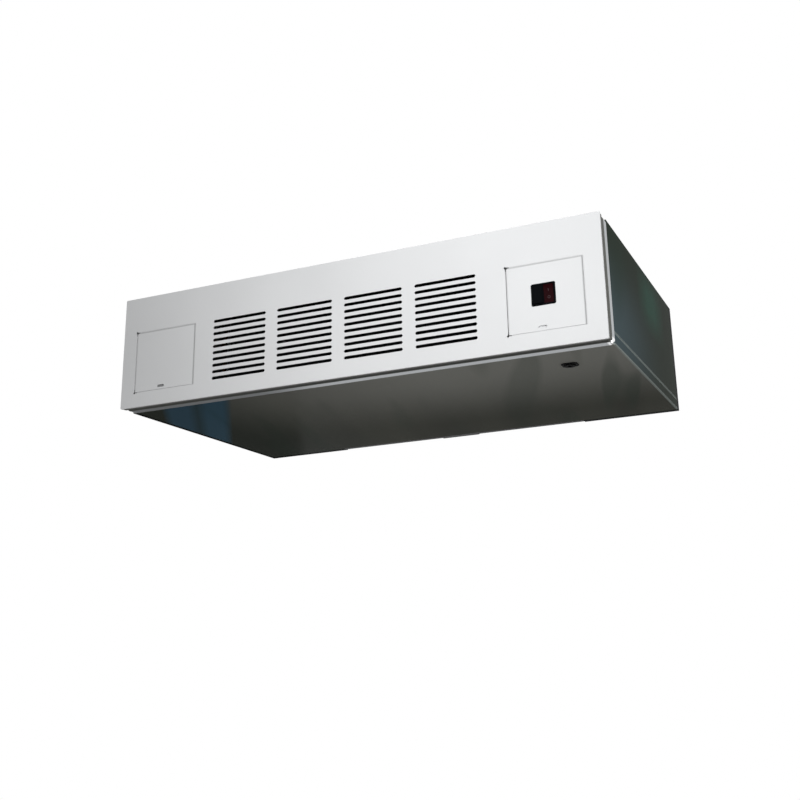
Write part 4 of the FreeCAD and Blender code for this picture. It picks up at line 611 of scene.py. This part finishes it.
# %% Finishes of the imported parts
FINISHES = {
    "front_enamel": front_enamel,
    "dark_collar": neck_paint,
    "bright_band": frame_with_painted_shade(),
    "dark_gloss_steel": casing_enamel,
    "galvanised_steel": zinc_coated_steel(),
    "spring_steel": bright_steel(),
    "magnet_black": moulded("magnet_strip", "#26262A", "#151517", 0.6, 1.5, 0.02, IOR=1.5),
    "black_rubber": moulded("black_rubber", "#161617", "#0B0B0C", 0.72, 1.2, 0.03, IOR=1.15),
    "dark_moulding": moulded("black_nylon", "#0B0C0F", "#060709", 0.3, 0.8, 0.006, IOR=1.09),
    "grey_moulding": moulded("grey_nylon", "#B4B5B7", "#9FA0A2", 0.45, 1.0, 0.01, IOR=1.5),
    "red_rocker": moulded("red_polycarbonate", "#260308", "#170204", 0.2, 3.0, 0.004, IOR=1.15),
    "brass_fitting": machined_brass(),
    "grey_foam": closed_foam(),
    "fin_aluminium": mill_aluminium(),
    "copper_tube": drawn_copper(),
    "motor_enamel": moulded("black_motor_enamel", "#232427", "#151618", 0.5, 1.4, 0.05, IOR=1.5),
    "filter_mesh": woven_filter(),
}

for part in frame["record"]["subparts"]:
    mesh = nodes[part["node"]].data
    mesh.materials.clear()
    mesh.materials.append(FINISHES[part["material_slot"]])

# %% [markdown]
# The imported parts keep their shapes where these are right. The cells that follow add what is too
# fine for them. Every new piece is a grid of points worked out as whole arrays. One function joins
# the neighbours on a grid with faces, and another turns such shells into a piece that rides on a
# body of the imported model.


# %% Piece helpers
SHARP_FROM = 40
TUBE_SIDES = 16


def grid_faces(rows, columns, wrap_rows=False, wrap_columns=False):
    """Quads between neighbours on a grid of points; either way may close on itself."""
    row, column = np.meshgrid(np.arange(rows if wrap_rows else rows - 1),
                              np.arange(columns if wrap_columns else columns - 1), indexing="ij")
    next_row, next_column = (row + 1) % rows, (column + 1) % columns
    corners = (row * columns + column, row * columns + next_column,
               next_row * columns + next_column, next_row * columns + column)
    return np.stack(corners, axis=-1).reshape(-1, 4)


def closed_shell(points):
    """A shell of rings carried one after another: quads between the rings and a cap at each end.

    The rings turn anticlockwise as seen from the last ring, so that the faces point outwards.
    """
    rings, sides = points.shape[:2]
    caps = np.stack((np.arange(sides)[::-1], np.arange(sides) + (rings - 1) * sides))
    return points, grid_faces(rings, sides, wrap_columns=True).tolist() + caps.tolist()


def new_piece(name, body, slot, shells, replaces=None, finish=None):
    """One piece from several shells of points and faces, riding on a body."""
    counts = np.cumsum([0] + [points.size // 3 for points, _ in shells])
    corners = [(np.array(face) + start).tolist()
               for (_, faces), start in zip(shells, counts) for face in faces]
    mesh = bpy.data.meshes.new(name)
    mesh.from_pydata(np.concatenate([points.reshape(-1, 3) for points, _ in shells]), [], corners)
    mesh.materials.append(finish or FINISHES[slot])
    mesh.shade_smooth()
    mesh.set_sharp_from_angle(angle=math.radians(SHARP_FROM))
    piece = bpy.data.objects.new(name, mesh)
    bpy.context.scene.collection.objects.link(piece)
    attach(piece, body)
    if replaces:
        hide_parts(replaces)
    print(name, len(corners), "faces")
    return piece


def around(sides):
    """Angles of so many equal steps round a circle, and their cosines and sines."""
    turn = np.linspace(0, 2 * np.pi, sides, endpoint=False)
    return turn, np.cos(turn), np.sin(turn)


def tube(path, radius, flat_normal, sides=TUBE_SIDES, closed=False):
    """Round bar along a flat path: at each point, a circle across the path's direction."""
    ahead = np.roll(path, -1, axis=0) - np.roll(path, 1, axis=0) if closed else np.gradient(path, axis=0)
    ahead = ahead / np.linalg.norm(ahead, axis=1, keepdims=True)
    side = np.cross(flat_normal, ahead)[:, None, :]
    _, cosine, sine = around(sides)
    ring = cosine[None, :, None] * side + sine[None, :, None] * np.array(flat_normal)
    points = path[:, None, :] + radius * ring
    if closed:
        return points, grid_faces(len(path), sides, True, True).tolist()
    return closed_shell(points)


print("edges are sharp from", SHARP_FROM, "degrees")

# %% [markdown]
# The coil behind the louvres is a stack of thin aluminium fins on copper tubes. The imported model
# has fins 12 mm apart, to stay light. Real ones stand about 2 mm apart and are pressed into waves,
# which is why no light comes through them. Here they are 4 mm apart, and each is a closed ribbon
# carried from the bottom of the coil to its top. The stock is near black: a dark coat, and painted
# shade of the coil behind the louvres.

# %% Coil fins
FIN_PITCH = 4.0 * MM
FIN_SKIN = 0.3 * MM
WAVE_HEIGHT = 0.8 * MM
WAVES = 3
STEPS_A_WAVE = 6


def fin_pack():
    """Fins side by side: each one's face bends as a sine of the depth, three waves deep."""
    low, high = (np.array(corner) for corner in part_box("coil_fins"))
    depth = np.linspace(0, 1, STEPS_A_WAVE * WAVES + 1)
    wave = WAVE_HEIGHT * np.sin(2 * np.pi * WAVES * depth)
    y = low[1] + depth * (high[1] - low[1])
    ring_x = np.concatenate((wave + FIN_SKIN / 2, (wave - FIN_SKIN / 2)[::-1]))
    ring_y = np.concatenate((y, y[::-1]))
    edge = WAVE_HEIGHT + FIN_SKIN
    count = int((high[0] - low[0] - 2 * edge) / FIN_PITCH) + 1
    first = -(count - 1) / 2 * FIN_PITCH
    shells = []
    for number in range(count):
        points = np.empty((2, len(ring_x), 3))
        points[..., 0] = first + number * FIN_PITCH + ring_x
        points[..., 1] = ring_y
        points[..., 2] = np.array((low[2], high[2]))[:, None]
        shells.append(closed_shell(points))
    return shells


# Near black: a dark coat, and painted shade of the coil seen through the louvres.
shade_dark_fin_stock = moulded("fin_coat_and_painted_shade", "#1B1C1E", "#121314", 0.5, 1.0, 0.004, IOR=1.2)
new_piece("coil_fin_pack", "case", "fin_aluminium", fin_pack(), "coil_fins", shade_dark_fin_stock)

# %% [markdown]
# The tubes are drawn round and the return bends are bent from the same tube, so both are circles
# carried along a path: a straight line for a tube and half a circle for a bend. Where they meet,
# the brazing alloy leaves a small bright ring.

# %% Copper tubes, return bends and brazing
TUBE_RADIUS = 4.75 * MM
BRAZE_RADIUS = 0.7 * MM
BRAZE_STEPS, BRAZE_SIDES = 20, 6
BEND_POINTS = 17
TUBES_HIGH = 6
tubes_low, tubes_high = (np.array(corner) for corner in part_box("coil_tubes"))
tube_end = tubes_high[0]
tube_rows = (tubes_low[1] + TUBE_RADIUS, tubes_high[1] - TUBE_RADIUS)
tube_levels = np.linspace(tubes_low[2] + TUBE_RADIUS, tubes_high[2] - TUBE_RADIUS, TUBES_HIGH)
bend_radius = (tube_levels[1] - tube_levels[0]) / 2


def half_turn(side, y, z):
    """Path of a return bend: half a circle upwards, bulging to one side."""
    angle = np.linspace(-np.pi / 2, np.pi / 2, BEND_POINTS)
    return np.stack((side * (tube_end + bend_radius * np.cos(angle)), np.full(angle.shape, y),
                     z + bend_radius * np.sin(angle)), axis=-1)


def braze_ring(side, y, z):
    """A bead of alloy round a tube's end: a small circle carried round the tube."""
    _, cosine, sine = around(BRAZE_STEPS)
    path = np.stack((np.full(cosine.shape, side * tube_end), y + TUBE_RADIUS * cosine,
                     z + TUBE_RADIUS * sine), axis=-1)
    return tube(path, BRAZE_RADIUS, (1, 0, 0), BRAZE_SIDES, closed=True)


straight, bends, beads = [], [], []
for row_y in tube_rows:
    for number, level in enumerate(tube_levels):
        ends = np.array(((-tube_end, row_y, level), (tube_end, row_y, level)))
        straight.append(tube(ends, TUBE_RADIUS, (0, 1, 0)))
        for side in (-1, 1):
            beads.append(braze_ring(side, row_y, level))
        if number < TUBES_HIGH - 1:
            side = 1 if number % 2 == 0 else -1
            bends.append(tube(half_turn(side, row_y, level + bend_radius), TUBE_RADIUS, (0, 1, 0)))
new_piece("coil_tube_bank", "case", "copper_tube", straight, "coil_tubes")
new_piece("coil_return_bends", "case", "copper_tube", bends, "return_bends")
new_piece("brazing_beads", "case", "brass_fitting", beads)

# %% [markdown]
# The gap round a door is closed by a pale rubber seal, clipped on the cut edge of the opening. Its
# section is carried round three sides. On the hinge side the door's edge turns into the gap, so the
# seal there is only a thin lip at the front.

# %% Door seals
SEAL_SECTION = MM * np.array(((0, 0.15), (0.9, 0.1), (1.3, 0.3), (1.5, 0.8), (1.5, 2.4), (1.2, 2.9),
                              (0, 3.0)))
LIP_SECTION = MM * np.array(((0, 0.1), (0.7, 0.1), (0.8, 0.3), (0.6, 0.7), (0.1, 0.9), (0.1, 3.2),
                             (0, 3.2)))
DOOR_GAP = 1.8 * MM
SEAL_START = 8.0 * MM


def carried(section, stations, inwards, front):
    """A section carried past stations in X and Z: inwards from the cut edge and rearwards."""
    flat = stations[:, None, :] + section[None, :, :1] * inwards[:, None, :]
    points = np.empty((len(stations), len(section), 3))
    points[..., 0] = flat[..., 0]
    points[..., 2] = flat[..., 1]
    points[..., 1] = front + section[:, 1]
    return closed_shell(points[:, ::-1])


def door_seal(door):
    """The seal on three sides of the opening and the lip on its hinge side."""
    low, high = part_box(door)
    left, right = low[0] - DOOR_GAP, high[0] + DOOR_GAP
    bottom, top = low[2] - DOOR_GAP, high[2] + DOOR_GAP
    start = left + SEAL_START
    stations = np.array(((start, bottom), (right, bottom), (right, top), (start, top)))
    inwards = np.array(((0, 1), (-1, 1), (-1, -1), (0, -1)))
    lip_ends = np.array(((left, top - SEAL_START), (left, bottom + SEAL_START)))
    return [carried(SEAL_SECTION, stations, inwards, low[1]),
            carried(LIP_SECTION, lip_ends, np.array(((1, 0), (1, 0))), low[1])]


seal_rubber = moulded("pale_seal_rubber", "#DCDDDE", "#CFD0D1", 0.6, 0.8, 0.006, IOR=1.4)
for door in ("left_door", "right_door"):
    new_piece(door + "_seal", "case", "grey_moulding", door_seal(door), finish=seal_rubber)

# %% [markdown]
# The front is a shallow tray. A strip of moulded rubber lies in its rim, all round the neck, and
# stops air from blowing back. It was sprayed with the neck, so it has the same paint. From below
# it is the first dark thing behind the white edge. Its section is a rectangle with one cut corner,
# carried round the rim.

# %% Front gasket
RIM_SKIN = 1.2 * MM
GASKET_REAR = 17.0 * MM
GASKET_CUT = 1.0 * MM


def rim_gasket():
    """A ring between the tray's rim and the neck, whose section is a rectangle with a cut corner."""
    low, high = (np.array(corner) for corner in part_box("front_panel"))
    neck_low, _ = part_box("reveal_collar")
    front = neck_low[1]
    width = neck_low[0] - low[0] - RIM_SKIN
    section = np.array(((0, 0), (width, 0), (width, GASKET_REAR), (GASKET_CUT, GASKET_REAR),
                        (0, GASKET_REAR - GASKET_CUT)))
    left, right = low[0] + RIM_SKIN, high[0] - RIM_SKIN
    bottom, top = low[2] + RIM_SKIN, high[2] - RIM_SKIN
    stations = np.array(((left, bottom), (right, bottom), (right, top), (left, top)))
    inwards = np.array(((1, 1), (-1, 1), (-1, -1), (1, -1)))
    points, _ = carried(section, stations, inwards, front)
    return points, grid_faces(4, len(section), True, True).tolist()


new_piece("front_rim_gasket", "case", "black_rubber", [rim_gasket()], finish=neck_paint)

# %% [markdown]
# Each door has a finger pull at its foot: a slot with a moulded cup behind it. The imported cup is
# deep. The real one is a shallow dish, which is why it looks pale. Its outline is a
# superellipse, |x/a|^4 + |z/b|^4 = 1, and its depth follows a rounded profile from the rim inwards.

# %% Finger cups
CUP_SIDES = 32
CUP_PROFILE = np.array(((0.02, 1.3), (0.45, 1.3), (0.7, 1.1), (0.86, 0.6), (0.92, 0.05), (1.0, 0.0),
                        (1.0, 1.4), (0.95, 2.2), (0.75, 2.5), (0.02, 2.5)))


def finger_cup(pull):
    """Rings of the superellipse, drawn in and set back as the profile's two columns say."""
    low, high = (np.array(corner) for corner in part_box(pull))
    _, cosine, sine = around(CUP_SIDES)
    outline = np.stack((np.sign(cosine) * np.abs(cosine) ** 0.5, np.sign(sine) * np.abs(sine) ** 0.5))
    middle, half = (low + high) / 2, (high - low) / 2
    points = np.empty((len(CUP_PROFILE), CUP_SIDES, 3))
    points[..., 0] = middle[0] + half[0] * CUP_PROFILE[:, :1] * outline[0]
    points[..., 2] = middle[2] + half[2] * CUP_PROFILE[:, :1] * outline[1]
    points[..., 1] = low[1] + MM * CUP_PROFILE[:, 1:]
    return closed_shell(points[:, ::-1])


grey_nylon = moulded("grey_cup", "#8F9091", "#858687", 0.5, 1.0, 0.01, IOR=1.4)
for side, slot, finish in (("left", "dark_moulding", grey_nylon),
                           ("right", "grey_moulding", seal_rubber)):
    pull = side + "_finger_pull"
    new_piece(side + "_finger_cup", side + "_door", slot, [finger_cup(pull)], pull, finish)

# %% [markdown]
# The casing screws have hexagon heads with a washer face. A head is a profile turned about its own
# axis, and where it is hexagonal the radius follows the flats: it is the half width across flats
# over the cosine of the angle from the nearest flat's middle.

# %% Casing screws
SCREW_PROFILE = MM * np.array(((0, 3.5), (0.45, 3.5), (0.7, 3.2), (0.7, 2.7), (1.7, 2.7), (2.0, 2.4),
                               (2.0, 1.3), (1.75, 1.1)))
HEXAGONAL = np.array((0, 0, 0, 1, 1, 0.7, 0, 0))
SCREW_RADIUS = 3.5 * MM
SCREW_SIDES = 24


def screw_head(spot, axis):
    """A turned head whose middle rows blend from a circle to a hexagon."""
    turn, cosine, sine = around(SCREW_SIDES)
    flats = 1 / np.cos(turn % (np.pi / 3) - np.pi / 6)
    stretch = 1 + HEXAGONAL[:, None] * (flats - 1)
    radius = SCREW_PROFILE[:, 1:] * stretch
    up = np.array(axis, float)
    side = np.array((1.0, 0, 0))
    over = np.cross(up, side)
    return closed_shell(np.array(spot) + SCREW_PROFILE[:, :1, None] * up
                        + (radius * cosine)[..., None] * side + (radius * sine)[..., None] * over)


bay_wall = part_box("bulkhead_right")[1][0]
top_low, top_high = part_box("top_screws")
rear_low, rear_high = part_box("rear_screws")
outer_x = top_high[0] - SCREW_RADIUS
side_panel_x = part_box("side_panel_right")[1][0]
inner_x = bay_wall - (side_panel_x - outer_x)
screw_x = (-outer_x, -inner_x, inner_x, outer_x)
half_flats = SCREW_RADIUS * math.cos(math.pi / 6)
edge_y = (top_low[1] + half_flats, top_high[1] - half_flats)
edge_z = (rear_low[2] + half_flats, rear_high[2] - half_flats)
top_heads = [screw_head((x, y, top_low[2]), (0, 0, 1)) for x in screw_x for y in edge_y]
rear_heads = [screw_head((x, rear_low[1], z), (0, 1, 0)) for x in screw_x for z in edge_z]
new_piece("top_screw_heads", "case", "spring_steel", top_heads, "top_screws")
new_piece("rear_screw_heads", "case", "spring_steel", rear_heads, "rear_screws")

# %% [markdown]
# The filter's cloth is pleated to give the air more surface. Its section is a sine of the width,
# given a thickness and carried from the bottom of the frame to its top.

# %% Filter pleats
PLEAT_PITCH = 11.0 * MM
CLOTH_SKIN = 0.6 * MM


def pleated_cloth():
    """Closed ribbon of the cloth's section, carried upwards."""
    low, high = (np.array(corner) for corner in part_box("filter_media"))
    pleats = int((high[0] - low[0]) / PLEAT_PITCH)
    along = np.linspace(0, 1, STEPS_A_WAVE * pleats + 1)
    middle = (low[1] + high[1]) / 2
    swing = (high[1] - low[1] - CLOTH_SKIN) / 2
    x = low[0] + along * (high[0] - low[0])
    y = middle + swing * np.sin(2 * np.pi * pleats * along)
    points = np.empty((2, 2 * len(x), 3))
    points[..., 0] = np.concatenate((x, x[::-1]))
    points[..., 1] = np.concatenate((y - CLOTH_SKIN / 2, (y + CLOTH_SKIN / 2)[::-1]))
    points[..., 2] = np.array((low[2], high[2]))[:, None]
    return closed_shell(points)


pleats = new_piece("filter_pleats", "filter", "filter_mesh", [pleated_cloth()], "filter_media")

# %% [markdown]
# The red rocker turns the unit on and off, so it carries the two usual marks, a bar and a ring.
# They are printed on its hollow face: each is a thin bead whose path is laid on the face's arc and
# then tilted with the rocker.

# %% Marks on the red rocker
ROCKER_TILT = math.radians(8)
FACE_SET_BACK = 5.0 * MM
FACE_RADIUS = 102.8 * MM
MARK_RADIUS = 0.35 * MM
MARK_SIDES = 8
MARK_OFFSET = 7.0 * MM
BAR_HALF = 2.6 * MM
BAR_POINTS = 7
RING_RADIUS = 2.3 * MM
RING_STEPS = 24


def on_rocker(points):
    """Places measured from the pivot, tilted about X with the rocker."""
    cosine, sine = math.cos(ROCKER_TILT), math.sin(ROCKER_TILT)
    tilt = np.array(((1, 0, 0), (0, cosine, -sine), (0, sine, cosine)))
    return rocker_pivot + points @ tilt.T


def on_face(x, z):
    """Points on the hollow face: it lies back by an arc of FACE_RADIUS over the height."""
    y = np.sqrt(FACE_RADIUS ** 2 - z ** 2) - FACE_RADIUS - FACE_SET_BACK
    return np.stack((x, y, z), axis=-1)


rocker_pivot = next(np.array(joint["pos_m"]) for joint in frame["record"]["behaviour"]["joints"]
                    if joint["name"] == "power_rocker_pivot")
bar_z = np.linspace(-BAR_HALF, BAR_HALF, BAR_POINTS) + MARK_OFFSET
bar_points, bar_faces = tube(on_face(np.zeros(BAR_POINTS), bar_z), MARK_RADIUS, (0, 1, 0), MARK_SIDES)
_, ring_cosine, ring_sine = around(RING_STEPS)
ring_path = on_face(RING_RADIUS * ring_cosine, RING_RADIUS * ring_sine - MARK_OFFSET)
ring_points, ring_faces = tube(ring_path, MARK_RADIUS, (0, 1, 0), MARK_SIDES, closed=True)
marks = [(on_rocker(bar_points), bar_faces), (on_rocker(ring_points), ring_faces)]
mark_print = moulded("mark_print", "#5C4E50", "#4E4244", 0.6, 0.5, 0.004, IOR=1.3)
new_piece("rocker_marks", "power_rocker", "grey_moulding", marks, finish=mark_print)

# %% [markdown]
# The room is plain: a wide pale floor at standing height below the camera, and a white surround.
# The surround is white to the camera and to reflections, and weaker as a light, so that the white
# front doesn't clip.
#
# - The key light is a large soft box in front of the right end, because in the photo the front
#   panel gets darker from right to left.
# - The fill light lifts the middle of the front. Glossy things don't mirror it, because it would
#   show as a pale square in the rockers.
# - The low light and the corner light stand below and behind the unit. The frame's lower edge and
#   its corner mirror them towards the camera, as the bright line and the highlight. The low light
#   is wide, so that its mirrored patch on the bottom stays faint.
# - The rear light reaches only the top, the left side and the back, which the photo doesn't show.

# %% Floor, surround and lights
EYE_HEIGHT = 1.5
HALF_FLOOR = 20.0
SURROUND_LIGHT = 0.215
floor_level = CAMERA_PLACE.z - EYE_HEIGHT
floor_mesh = bpy.data.meshes.new("floor")
floor_corners = [(x * HALF_FLOOR, y * HALF_FLOOR, floor_level)
                 for x, y in ((-1, -1), (1, -1), (1, 1), (-1, 1))]
floor_mesh.from_pydata(floor_corners, [], [(0, 1, 2, 3)])
floor = bpy.data.objects.new("floor", floor_mesh)
bpy.context.scene.collection.objects.link(floor)


def pale_floor():
    """Pale matt floor that melts into the white surround and can be seen through from below."""
    material, tree, shader = finish_of("pale_floor", Roughness=0.9)
    lay_on(shader, "#E9E9E9")
    glow = add(tree, "Emission", "#FFFFFF", 1.0)
    to_camera = add(tree, "LightPath").outputs["Is Camera Ray"]
    from_above = add(tree, "MixShader", to_camera, shader, glow)
    from_below = add(tree, "NewGeometry").outputs["Backfacing"]
    whole = add(tree, "MixShader", from_below, from_above, add(tree, "BsdfTransparent"))
    fill(tree.nodes["Material Output"].inputs["Surface"], whole)
    return material


floor_mesh.materials.append(pale_floor())

world = bpy.data.worlds.new("surround")
world.use_nodes = True
bpy.context.scene.world = world
sky = world.node_tree
ray = add(sky, "LightPath")
seen = 0.0
for kind in ("Is Camera Ray", "Is Glossy Ray", "Is Transmission Ray"):
    seen = add(sky, "Math", ray.outputs[kind], seen, operation="MAXIMUM")
surround = sky.nodes["Background"]
fill(surround.inputs["Color"], "#FFFFFF")
fill(surround.inputs["Strength"], add(sky, "MapRange", seen, 0.0, 1.0, SURROUND_LIGHT, 1.0))


def soft_box(name, place, aim, size, power, mirrored=True):
    """A square area light at a place, turned to shine at the aim; glossy things may not mirror it."""
    lamp = bpy.data.lights.new(name, "AREA")
    lamp.shape = "SQUARE"
    lamp.size = size
    lamp.energy = power
    holder = bpy.data.objects.new(name, lamp)
    holder.visible_camera = False
    holder.visible_glossy = mirrored
    bpy.context.scene.collection.objects.link(holder)
    direction = Vector(aim) - Vector(place)
    turn = direction.to_track_quat("-Z", "Y")
    holder.matrix_world = Matrix.Translation(place) @ turn.to_matrix().to_4x4()


soft_box("key_light", (1.35, -1.3, 0.25), (0.3, -0.3, -0.12), 0.9, 12)
soft_box("fill_light", (0.2, -1.2, -0.05), (0.2, -0.3, -0.13), 0.6, 5.6, mirrored=False)
soft_box("low_light", (-0.36, 1.9, -1.02), (0.25, -0.2, -0.25), 1.9, 7.2)
soft_box("corner_light", (1.25, 1.75, -0.9), (0.54, -0.28, -0.24), 0.5, 4.0)
soft_box("rear_light", (-1.6, 1.5, 0.9), (-0.1, 0.2, -0.12), 1.0, 14)

bpy.context.scene.view_settings.view_transform = "Standard"
print("floor at", round(floor_level, 3), "m")
